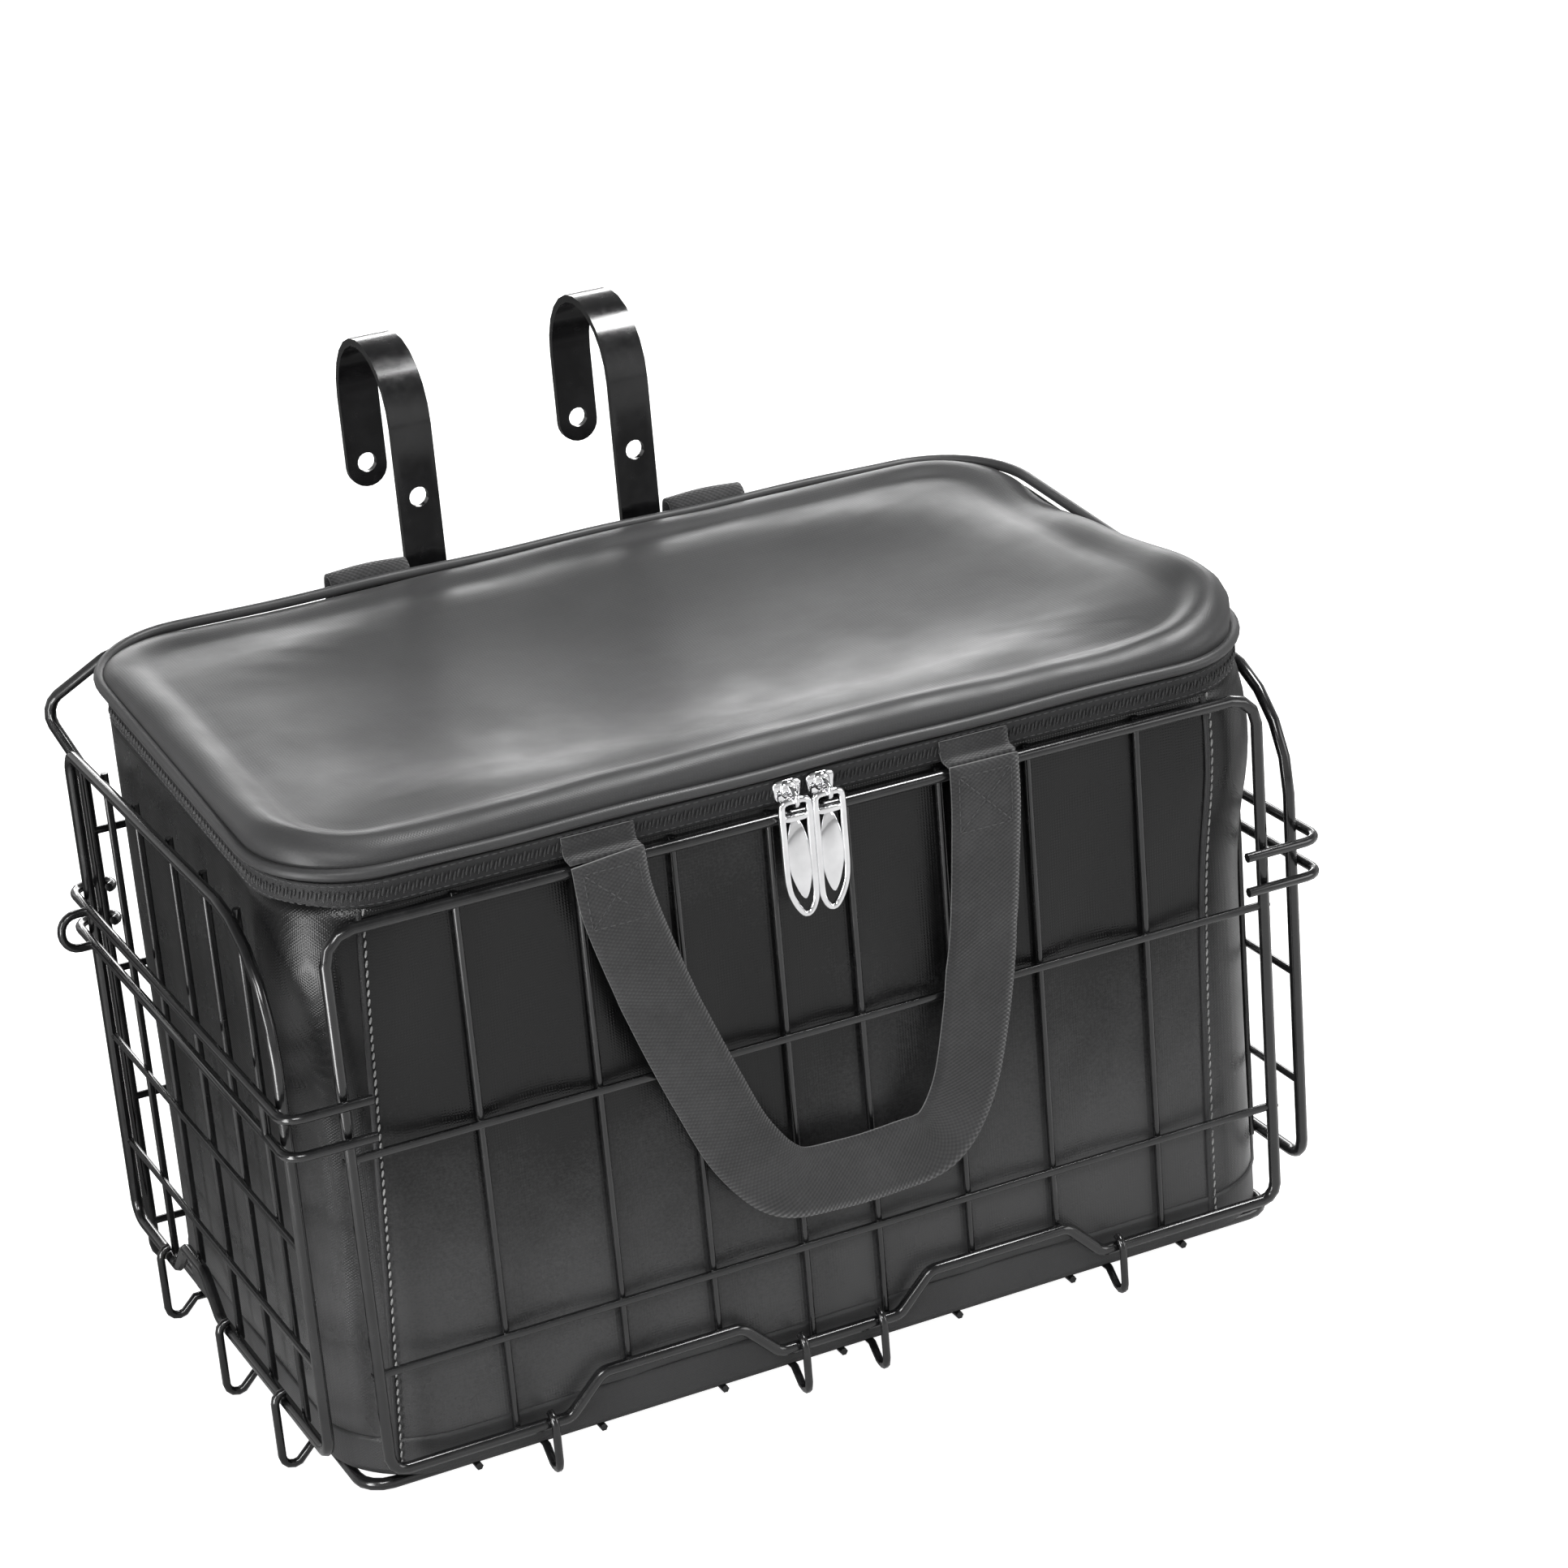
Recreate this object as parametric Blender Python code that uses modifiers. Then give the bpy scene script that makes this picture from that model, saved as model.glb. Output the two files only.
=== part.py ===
# Folding wire bicycle basket with a zip-lid liner bag, standing on its hinge loops.
# Metres, +Z up, the front faces -Y. Z is zero on the ground under the hinge loops.
import math

import bmesh
import bpy
from mathutils import Matrix, Vector

# Driving sizes of the frame
BASKET_WIDTH = 0.401
BASKET_DEPTH = 0.236
FRONT_WIDTH = 0.364
FRONT_HEIGHT = 0.206
SIDE_HEIGHT = 0.197
BACK_WIDTH = 0.388
BACK_HEIGHT = 0.236

# Wire sizes: radii, and how deep a weld sinks one wire into the other
BORDER_RADIUS = 0.0023
GRID_RADIUS = 0.0015
LATCH_RADIUS = 0.0019
LOOP_RADIUS = 0.0016
WELD_DEPTH = 0.0008
WIRE_BEVEL_STEPS = 2
THIN_BEVEL_STEPS = 1

# Clearances
SEAT_GAP = 0.0003
FOLD_GAP = 0.0006
CUT_OVERRUN = 0.002
MERGE_DISTANCE = 0.00001

# Hinge loops and the base
LOOP_SLOT = 0.014
LOOP_SINK = 0.0002
LOOP_CENTRE_RADIUS = BORDER_RADIUS + SEAT_GAP + LOOP_RADIUS
HINGE_Z = LOOP_SLOT + LOOP_CENTRE_RADIUS + LOOP_RADIUS
WEB_OFFSET = BORDER_RADIUS + GRID_RADIUS - WELD_DEPTH
WEB_REACH = WEB_OFFSET + GRID_RADIUS
CROSS_OFFSET = 2 * GRID_RADIUS - WELD_DEPTH
HINGE_RISE = BORDER_RADIUS + FOLD_GAP + WEB_REACH
SIDE_HINGE_Z = HINGE_Z + HINGE_RISE
BASE_DROP = 0.0050
BASE_Z = HINGE_Z - HINGE_RISE - BASE_DROP
BASE_FRONT_INSET = 0.014
BASE_SIDE_INSET = 0.013
BASE_BACK_INSET = 0.012
BASE_CORNER = 0.010
BASE_LONG_SHARES = (-0.27, 0, 0.27)
BASE_CROSS_SHARES = (-0.39, -0.26, -0.13, 0, 0.13, 0.26, 0.39)
BASE_WIRE_END = 0.004
FRONT_LOOP_PLACES = (-0.121, -0.0215, 0.0105, 0.112)
SIDE_LOOP_PLACES = (-0.062, 0, 0.070)
BACK_LOOP_PLACES = (-0.135, -0.052, 0.052, 0.135)
LOOP_LEAD_SHARE = 0.45
LOOP_LEAD_ANGLE = -60
LOOP_LAP_ANGLE = 80
LOOP_STEP_ANGLE = 30

# Front panel
FRONT_CORNER = 0.011
FRONT_LEFT_ARCH = (-0.1135, -0.030)
FRONT_RIGHT_ARCH = (0.019, 0.105)
SIDE_ARCH = (0.010, 0.060)
ARCH_RISE = 0.014
ARCH_RUN = 0.014
ARCH_FILLET = 0.006
FRONT_UPRIGHTS = (0.015, 0.052, 0.088, 0.133)
FRONT_RAILS = (0.0385, 0.122)
WIRE_END = 0.0025

# Side panels
SIDE_FRONT_INSET = 0.0095
SIDE_BACK_INSET = 0.0075
SIDE_CORNER = 0.008
SIDE_SHOULDER = 0.045
SIDE_CORNER_STEPS = 5
SIDE_UPRIGHT_SHARES = (0.15, 0.31, 0.48, 0.66, 0.83)
SIDE_RAILS = (0.0335, 0.079)

# Back panel
BACK_SHOULDER_DROP = 0.042
BACK_LIP_DROP = 0.022
BACK_LIP_OUT = 0.007
BACK_LIP_BACK = 0.020
BACK_RAIL_INSET = 0.016
BACK_CORNER = 0.008
BACK_UPRIGHTS = (0.032, 0.074, 0.116, 0.156)
BACK_CENTRE_UPRIGHT = 0.007
BACK_TIP = 0.005
BACK_RAILS = (0, 0.055, 0.110, 0.168)

# Latches: a hairpin of two rods on each side
LATCH_HEIGHT = 0.138
LATCH_SPACING = 0.014
LATCH_TIP = 0.009
LATCH_BEND = 0.007
LATCH_TIE_SETBACK = 0.022
LATCH_TIE_RADIUS = 0.0017
LATCH_LOOP_OUT = 0.012
LATCH_LOOP_SETBACK = 0.014
LATCH_LOOP_CORNER = 0.0065
EYE_RADIUS = BORDER_RADIUS + SEAT_GAP + LATCH_RADIUS
EYE_BEND = 0.0085
EYE_ANGLES = (60, 30, 0, -30, -60)

# Handlebar hooks
HOOK_PLACE = 0.046
STRIP_WIDTH = 0.0165
STRIP_THICKNESS = 0.003
HOOK_GAP = 0.054
HOOK_RISE = 0.062
HOOK_TAIL_DROP = 0.038
HOOK_FOOT_DROP = 0.132
HOOK_ARCH_START = BACK_HEIGHT + HOOK_RISE
HOOK_TAIL = HOOK_ARCH_START - HOOK_TAIL_DROP
HOOK_FOOT = BACK_HEIGHT - HOOK_FOOT_DROP
HOOK_ARCH_STEPS = 12
HOOK_TIP_STEPS = 5
HOOK_TIP_SWEEP = 82
CLAMP_HOLE_RADIUS = 0.004
CLAMP_HOLE_DROP = 0.028
CLAMP_HOLE_HEIGHT = HOOK_ARCH_START - CLAMP_HOLE_DROP
BOLT_DROPS = (0.045, 0.015)
BOLT_HEIGHTS = [BACK_HEIGHT - drop for drop in BOLT_DROPS]
BOLT_RADIUS = 0.0022
BOLT_HOLE_GAP = 0.0004
BOLT_HEAD_RADIUS = 0.0044
BOLT_HEAD_HEIGHT = 0.0016
NUT_RADIUS = 0.0046
NUT_HEIGHT = 0.0032
BOLT_TAIL = 0.0012
ROUND_SIDES = 16
HEX_SIDES = 6
PLATE_WIDTH = 0.018
PLATE_HEIGHT = 0.042
PLATE_THICKNESS = 0.0016
SLEEVE_WIDTH = 0.0215
SLEEVE_HEIGHT = 0.078
SLEEVE_WALL = 0.002
SLEEVE_BEVEL = 0.0012

# Rear stay and bracket
STAY_RADIUS = 0.0020
STAY_HALF_WIDTH = 0.020
STAY_FOOT = 0.044
STAY_HEAD_DROP = 0.014
STAY_HEAD = BACK_HEIGHT - STAY_HEAD_DROP
STAY_ARC_STEPS = 6
BRACKET_SIDE_GAP = 0.0035
BRACKET_HEAD_GAP = 0.002
BRACKET_HEIGHT = 0.052
BRACKET_THICKNESS = 0.0025
BRACKET_WIDTH = 2 * (STAY_HALF_WIDTH - STAY_RADIUS - BRACKET_SIDE_GAP)
BRACKET_MIDDLE = STAY_HEAD - STAY_HALF_WIDTH - BRACKET_HEAD_GAP - BRACKET_HEIGHT / 2
BRACKET_HOLE_RADIUS = 0.0045
BRACKET_HOLE_PITCH = 0.024
BRACKET_NOTCH = 0.008
BRACKET_NOTCH_RISE = 0.009

# Liner bag
BAG_FRONT_GAP = 0.0005
BAG_SIDE_GAP = 0.0045
BAG_BACK_GAP = 0.005
BAG_CORNER = 0.038
BAG_CORNER_STEPS = 5
BAG_WALL = 0.0022
LINING_WALL = 0.0012
BAG_FRONT_RISE = 0.0065
BAG_BACK_DROP = 0.0025
BAG_FRONT_TOP = FRONT_HEIGHT + BAG_FRONT_RISE
BAG_BACK_TOP = BACK_HEIGHT - BAG_BACK_DROP
BAG_WALL_STEPS = 3
ZIP_GAP = 0.0006
LID_SKIRT = 0.0095
LID_BACK_RISE_SHARE = 0.7
LID_BACK_RUN_SHARE = 0.2
LID_WALL = 0.002
LID_SAG = 0.009
LID_RING_SHARES = (0.965, 0.88, 0.62, 0.32)
LID_SAG_SHARES = (-0.62, -0.05, 0.66, 0.97)
PIPING_RADIUS = 0.0020
TAPE_WIDTH = 0.009
TAPE_THICKNESS = 0.0010
TAPE_GAP = 0.0015

# Zip sliders and pulls
SLIDER_SPACING = 0.0130
SLIDER_MIDDLE = -0.001
SLIDER_WIDTH = 0.0125
SLIDER_HEIGHT = 0.0092
SLIDER_THICKNESS = 0.0022
SLIDER_BEVEL = 0.0008
BAIL_RADIUS = 0.0007
BAIL_HALF_HEIGHT = 0.0026
BAIL_CORNER = 0.0022
BAIL_DROP = 0.0010
PULL_WIRE = 0.0010
PULL_WIDTH = 0.0105
PULL_LENGTH = 0.043
PULL_CORNER = 0.0020
PULL_END = 0.0050
PULL_ARC_STEPS = 4
PULL_LEAF_THICKNESS = 0.0012
PULL_EYE = 0.0055
PULL_LEAF = 0.0285
PULL_LEAF_POINT = 0.0035

# Carry handle, its sewn tabs and the rear tabs
HANDLE_WIDTH = 0.027
HANDLE_THICKNESS = 0.0018
HANDLE_LEFT = -0.079
HANDLE_RIGHT = 0.067
HANDLE_LEFT_FOOT = -0.030
HANDLE_RIGHT_FOOT = 0.052
HANDLE_HANG = 0.066
HANDLE_CLEAR = 0.0010
HANDLE_LEAN_SHARES = (0, 0, 0.10, 0.30, 0.56, 0.84)
HANDLE_FALL_SHARES = (0, 0.05, 0.20, 0.42, 0.65, 0.86)
HANDLE_TAB_RISE = 0.0073
HANDLE_TAB_BEND = 0.0018
TAB_PLACE = 0.072
TAB_WIDTH = 0.032
TAB_THICKNESS = 0.0015
TAB_DROP = 0.026
TAB_LIFT = 0.0035

# Places of the panels. The origin is the middle of the overall depth.
STRIP_OFFSET = BORDER_RADIUS + SEAT_GAP + STRIP_THICKNESS / 2
HOOK_SPAN = HOOK_GAP + STRIP_THICKNESS
HANDLE_OFFSET = BORDER_RADIUS + HANDLE_CLEAR + HANDLE_THICKNESS / 2
REACH_FRONT = BASKET_DEPTH / 2 + BORDER_RADIUS + SEAT_GAP + 2 * LATCH_RADIUS
REACH_BACK = BASKET_DEPTH / 2 + STRIP_OFFSET + HOOK_SPAN + STRIP_THICKNESS / 2
MIDDLE_Y = (REACH_FRONT - REACH_BACK) / 2
FRONT_Y = MIDDLE_Y - BASKET_DEPTH / 2
BACK_Y = MIDDLE_Y + BASKET_DEPTH / 2
SIDE_X = BASKET_WIDTH / 2
GRID_BACK_Y = BACK_Y - WEB_OFFSET + CROSS_OFFSET + GRID_RADIUS
STRIP_Y = BACK_Y + STRIP_OFFSET
HANDLE_Y = FRONT_Y - HANDLE_OFFSET
BAG_FRONT_Y = FRONT_Y + WEB_REACH + BAG_FRONT_GAP
BAG_BACK_Y = BACK_Y - WEB_REACH - BAG_BACK_GAP
BAG_SIDE_X = SIDE_X - WEB_REACH - BAG_SIDE_GAP
BAG_BOTTOM_Z = BASE_Z + BORDER_RADIUS + SEAT_GAP
BAG_DEPTH = BAG_BACK_Y - BAG_FRONT_Y
LID_SLOPE = (BAG_BACK_TOP - BAG_FRONT_TOP) / BAG_DEPTH
TAPE_Y = BAG_FRONT_Y - SEAT_GAP - TAPE_THICKNESS / 2
SLIDER_Y = TAPE_Y - TAPE_THICKNESS / 2 - SEAT_GAP - SLIDER_THICKNESS / 2
TAPE_RISE = WIRE_END + TAPE_GAP + TAPE_WIDTH / 2 - BAG_FRONT_RISE
SLIDER_Z = HINGE_Z + BAG_FRONT_TOP + TAPE_RISE
PULL_Y = FRONT_Y - BORDER_RADIUS - FOLD_GAP - PULL_WIRE
BAIL_REACH = SLIDER_Y - SLIDER_THICKNESS / 2 - PULL_Y + PULL_WIRE + SEAT_GAP + BAIL_RADIUS
HANDLE_CREST_Z = HINGE_Z + FRONT_HEIGHT + BORDER_RADIUS + HANDLE_CLEAR + HANDLE_THICKNESS / 2

X_AXIS = Vector((1, 0, 0))
Y_AXIS = Vector((0, 1, 0))
Z_AXIS = Vector((0, 0, 1))

BLACK = (0.012, 0.012, 0.013)
DARK = (0.020, 0.020, 0.022)
CHARCOAL = (0.040, 0.041, 0.043)
WEBBING = (0.030, 0.030, 0.032)
SILVER = (0.55, 0.56, 0.57)
CHROME = (0.80, 0.80, 0.82)

FINISHES = {
    "black_powder_coat": (BLACK, 0.35, 0.0),
    "black_rubber": (DARK, 0.75, 0.0),
    "bag_fabric": (CHARCOAL, 0.70, 0.0),
    "foil_lining": (SILVER, 0.45, 0.3),
    "webbing": (WEBBING, 0.85, 0.0),
    "binding": (DARK, 0.80, 0.0),
    "zip_tape": (BLACK, 0.80, 0.0),
    "chrome": (CHROME, 0.12, 1.0),
    "zinc_bolt": (SILVER, 0.35, 1.0),
}


def clear_scene():
    for item in list(bpy.data.objects):
        bpy.data.objects.remove(item, do_unlink=True)


def new_collection(name):
    collection = bpy.data.collections.new(name)
    bpy.context.scene.collection.children.link(collection)
    return collection


def finish(name):
    found = bpy.data.materials.get(name)
    if found:
        return found
    colour, roughness, metallic = FINISHES[name]
    material = bpy.data.materials.new(name)
    material.use_nodes = True
    shader = material.node_tree.nodes["Principled BSDF"]
    shader.inputs["Base Color"].default_value = (*colour, 1)
    shader.inputs["Roughness"].default_value = roughness
    shader.inputs["Metallic"].default_value = metallic
    return material


def add_object(name, data, place=(0, 0, 0)):
    item = bpy.data.objects.new(name, data)
    item.location = place
    bpy.context.scene.collection.objects.link(item)
    return item


def keep(item, slot, smooth=True):
    # A finished piece goes to the basket's collection with its material
    item.data.materials.clear()
    item.data.materials.append(finish(slot))
    bpy.context.scene.collection.objects.unlink(item)
    basket.objects.link(item)
    if smooth and item.type == "MESH":
        item.data.shade_smooth()
        item.data.set_sharp_from_angle(angle=math.radians(40))
    return item


def guide(item):
    # A cutter or a wire set that a Boolean reads
    item.hide_render = True
    item.display_type = "WIRE"
    return item


def clean_mesh(mesh):
    work = bmesh.new()
    work.from_mesh(mesh)
    bmesh.ops.remove_doubles(work, verts=work.verts, dist=MERGE_DISTANCE)
    bmesh.ops.recalc_face_normals(work, faces=work.faces)
    work.to_mesh(mesh)
    work.free()
    return mesh


def as_mesh(item):
    # Turns a curve, or an object with modifiers, into a plain mesh object
    bpy.context.view_layer.update()
    graph = bpy.context.evaluated_depsgraph_get()
    mesh = bpy.data.meshes.new_from_object(item.evaluated_get(graph))
    name, spot = item.name, item.matrix_world.copy()
    bpy.data.objects.remove(item, do_unlink=True)
    solid = add_object(name, clean_mesh(mesh))
    solid.matrix_world = spot
    return solid


def wires(name, runs, radius, place=(0, 0, 0), closed=False, level=WIRE_BEVEL_STEPS):
    # Round wires, each along its own run of points
    curve = bpy.data.curves.new(name, "CURVE")
    curve.dimensions = "3D"
    curve.bevel_depth = radius
    curve.bevel_resolution = level
    curve.use_fill_caps = True
    for run in runs:
        spline = curve.splines.new("POLY")
        spline.points.add(len(run) - 1)
        for point, spot in zip(spline.points, run):
            point.co = (*spot, 1)
        spline.use_cyclic_u = closed
    return as_mesh(add_object(name, curve, place))


def boolean(item, tool, operation):
    step = item.modifiers.new(operation.lower(), "BOOLEAN")
    step.operation = operation
    step.solver = "EXACT"
    step.object = guide(tool)


def combine(item, tools, operation):
    for tool in tools:
        boolean(item, tool, operation)
    solid = as_mesh(item)
    for tool in tools:
        bpy.data.objects.remove(tool, do_unlink=True)
    return solid


def weld(name, sets):
    # One body from sets of wires that sink into each other, with the first set's origin
    sets[0].name = name
    return combine(sets[0], sets[1:], "UNION")


def cut(item, tools):
    return combine(item, tools, "DIFFERENCE")


def rounded(points, radius, steps=4, closed=True):
    # A polyline whose corners are arcs of one radius, or of a radius for each corner
    count = len(points)
    radii = radius if isinstance(radius, (list, tuple)) else [radius] * count
    spots = [Vector(p) for p in points]
    made = []
    for k, corner in enumerate(spots):
        if not closed and k in (0, count - 1):
            made.append(corner)
            continue
        before = (spots[k - 1] - corner).normalized()
        after = (spots[(k + 1) % count] - corner).normalized()
        half = before.angle(after) / 2
        if radii[k] == 0 or half > math.radians(89):
            made.append(corner)
            continue
        reach = radii[k] / math.tan(half)
        start, end = corner + before * reach, corner + after * reach
        centre = corner + (before + after).normalized() * (radii[k] / math.sin(half))
        sweep = math.pi - 2 * half
        for n in range(steps + 1):
            turn = sweep * n / steps
            weight = math.sin(sweep - turn) / math.sin(sweep)
            other = math.sin(turn) / math.sin(sweep)
            made.append(centre + (start - centre) * weight + (end - centre) * other)
    return made


def ribbon(name, points, across, width, thickness, place=(0, 0, 0), widths=None):
    # A flat strip along points: across gives its width direction, fixed or one for each point
    count = len(points)
    spots = [Vector(p) for p in points]
    shape = bmesh.new()
    rings = []
    for k, spot in enumerate(spots):
        run = (spots[min(k + 1, count - 1)] - spots[max(k - 1, 0)]).normalized()
        side = across[k] if isinstance(across, list) else across
        side = (side - run * side.dot(run)).normalized()
        up = run.cross(side).normalized()
        wide = side * (widths[k] if widths else width) / 2
        thick = up * thickness / 2
        corners = (wide + thick, -wide + thick, -wide - thick, wide - thick)
        rings.append([shape.verts.new(spot + c) for c in corners])
    for one, two in zip(rings, rings[1:]):
        for n in range(4):
            shape.faces.new((one[n], one[n - 1], two[n - 1], two[n]))
    shape.faces.new(rings[0])
    shape.faces.new(rings[-1][::-1])
    mesh = bpy.data.meshes.new(name)
    shape.to_mesh(mesh)
    shape.free()
    return add_object(name, clean_mesh(mesh), place)


def block(name, size, place, bevel=0):
    mesh = bpy.data.meshes.new(name)
    shape = bmesh.new()
    bmesh.ops.create_cube(shape, size=1)
    bmesh.ops.scale(shape, vec=size, verts=shape.verts)
    if bevel:
        bmesh.ops.bevel(shape, geom=shape.edges[:], offset=bevel, segments=2, affect="EDGES", profile=0.5)
    shape.to_mesh(mesh)
    shape.free()
    return add_object(name, mesh, place)


def rod(name, radius, length, place, axis="Y", sides=ROUND_SIDES):
    mesh = bpy.data.meshes.new(name)
    shape = bmesh.new()
    bmesh.ops.create_cone(
        shape, cap_ends=True, segments=sides, radius1=radius, radius2=radius, depth=length
    )
    if axis == "Y":
        bmesh.ops.rotate(shape, matrix=Matrix.Rotation(math.pi / 2, 3, "X"), verts=shape.verts)
    shape.to_mesh(mesh)
    shape.free()
    return add_object(name, mesh, place)


def hinge_loop(pin, out, slot, pin_radius, start):
    # A base wire that dips under a pin, rises outside it and laps over it.
    # pin is the pin's place, out the direction away from the basket, start the welded end.
    radius = pin_radius + SEAT_GAP + LOOP_RADIUS
    start = start - Z_AXIS * LOOP_SINK
    low = pin - Z_AXIS * slot
    run = [start, start + (low - start).project(out) * LOOP_LEAD_SHARE]
    for angle in range(LOOP_LEAD_ANGLE, -180 - 1, -LOOP_STEP_ANGLE):
        turn = math.radians(angle)
        run.append(low - out * radius * math.cos(turn) + Z_AXIS * radius * math.sin(turn))
    for angle in range(180, LOOP_LAP_ANGLE - 1, -LOOP_STEP_ANGLE):
        turn = math.radians(angle)
        if slot == 0 and angle == 180:
            continue
        run.append(pin - out * radius * math.cos(turn) + Z_AXIS * radius * math.sin(turn))
    return run


def make_base():
    left, right = -SIDE_X + BASE_SIDE_INSET, SIDE_X - BASE_SIDE_INSET
    near, far = FRONT_Y + BASE_FRONT_INSET, BACK_Y - BASE_BACK_INSET
    depth, width, middle = far - near, right - left, (near + far) / 2
    corners = [(left, near, BASE_Z), (right, near, BASE_Z), (right, far, BASE_Z), (left, far, BASE_Z)]
    border = wires("border", [rounded(corners, BASE_CORNER)], BORDER_RADIUS, closed=True)
    long_runs = []
    for share in BASE_LONG_SHARES:
        y = middle + share * depth
        long_runs.append([(left, y, BASE_Z), (right, y, BASE_Z)])
    low = BASE_Z - CROSS_OFFSET
    cross_runs = []
    for share in BASE_CROSS_SHARES:
        x = share * width
        cross_runs.append([(x, near - BASE_WIRE_END, low), (x, far + WIRE_END, low)])
    long_wires = wires("long_wires", long_runs, GRID_RADIUS, level=THIN_BEVEL_STEPS)
    cross_wires = wires("cross_wires", cross_runs, GRID_RADIUS, level=THIN_BEVEL_STEPS)
    loops = []
    for x in FRONT_LOOP_PLACES:
        pin, start = Vector((x, FRONT_Y, HINGE_Z)), Vector((x, near, BASE_Z))
        loops.append(hinge_loop(pin, -Y_AXIS, LOOP_SLOT, BORDER_RADIUS, start))
    for x in BACK_LOOP_PLACES:
        pin, start = Vector((x, BACK_Y - WEB_OFFSET + CROSS_OFFSET, HINGE_Z)), Vector((x, far, BASE_Z))
        loops.append(hinge_loop(pin, Y_AXIS, BASE_DROP, GRID_RADIUS, start))
    for sign in (-1, 1):
        for y in SIDE_LOOP_PLACES:
            pin = Vector((sign * SIDE_X, MIDDLE_Y + y, SIDE_HINGE_Z))
            start = Vector((sign * right, MIDDLE_Y + y, BASE_Z))
            slot = LOOP_SLOT + HINGE_RISE
            loops.append(hinge_loop(pin, sign * X_AXIS, slot, BORDER_RADIUS, start))
    hinge_loops = wires("hinge_loops", loops, LOOP_RADIUS, level=THIN_BEVEL_STEPS)
    keep(weld("bottom_panel", [border, long_wires, cross_wires, hinge_loops]), "black_powder_coat")


def arch(start, end, rise):
    # A raised stretch of a bottom wire, from start to end
    run = math.copysign(ARCH_RUN, end - start)
    return [(start, 0), (start + run, rise), (end - run, rise), (end, 0)]


def make_front_panel():
    half, top = FRONT_WIDTH / 2, FRONT_HEIGHT
    arches = (FRONT_LEFT_ARCH, FRONT_RIGHT_ARCH)
    flat = [(-half, 0)]
    for near, far in arches:
        flat += arch(near, far, ARCH_RISE)
    flat += [(half, 0), (half, top), (-half, top)]
    radii = [ARCH_FILLET] * (len(flat) - 2) + [FRONT_CORNER] * 2
    outline = rounded([(x, 0, z) for x, z in flat], radii, steps=3)
    place = (0, FRONT_Y, HINGE_Z)
    border = wires("border", [outline], BORDER_RADIUS, place, closed=True)
    runs = []
    for place_x in FRONT_UPRIGHTS:
        for x in (-place_x, place_x):
            raised = any(near < x < far for near, far in arches)
            foot = ARCH_RISE if raised else 0
            runs.append([(x, WEB_OFFSET, foot - WIRE_END), (x, WEB_OFFSET, top + WIRE_END)])
    uprights = wires("uprights", runs, GRID_RADIUS, place, level=THIN_BEVEL_STEPS)
    rail_y = WEB_OFFSET - CROSS_OFFSET
    reach = half + WIRE_END
    runs = [[(-reach, rail_y, z), (reach, rail_y, z)] for z in FRONT_RAILS]
    rails = wires("rails", runs, GRID_RADIUS, place, level=THIN_BEVEL_STEPS)
    keep(weld("front_panel", [border, uprights, rails]), "black_powder_coat")


def make_side_panel(name, sign):
    # sign is -1 on the left and 1 on the right; the uprights lie on the inner side
    near, far = FRONT_Y + SIDE_FRONT_INSET - MIDDLE_Y, BACK_Y - SIDE_BACK_INSET - MIDDLE_Y
    arch_near, arch_far = SIDE_ARCH
    flat = [(near, 0)] + arch(arch_near, arch_far, ARCH_RISE)
    flat += [(far, 0), (far, SIDE_HEIGHT), (near, SIDE_HEIGHT)]
    radii = [SIDE_CORNER] + [ARCH_FILLET] * 4 + [SIDE_CORNER] * 2 + [SIDE_SHOULDER]
    outline = rounded([(0, y, z) for y, z in flat], radii, SIDE_CORNER_STEPS)
    place = (sign * SIDE_X, MIDDLE_Y, SIDE_HINGE_Z)
    border = wires("border", [outline], BORDER_RADIUS, place, closed=True)
    inner_x, rail_x = -sign * WEB_OFFSET, -sign * (WEB_OFFSET - CROSS_OFFSET)
    runs = []
    for share in SIDE_UPRIGHT_SHARES:
        y = near + share * (far - near)
        foot = ARCH_RISE if arch_near < y < arch_far else 0
        fall = max(near + SIDE_SHOULDER - y, 0)
        top = SIDE_HEIGHT - SIDE_SHOULDER + math.sqrt(SIDE_SHOULDER**2 - fall**2)
        runs.append([(inner_x, y, foot - WIRE_END), (inner_x, y, top + WIRE_END)])
    uprights = wires("uprights", runs, GRID_RADIUS, place, level=THIN_BEVEL_STEPS)
    runs = [[(rail_x, near, z), (rail_x, far, z)] for z in SIDE_RAILS]
    rails = wires("rails", runs, GRID_RADIUS, place, level=THIN_BEVEL_STEPS)
    keep(weld(name, [border, uprights, rails]), "black_powder_coat")


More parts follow.
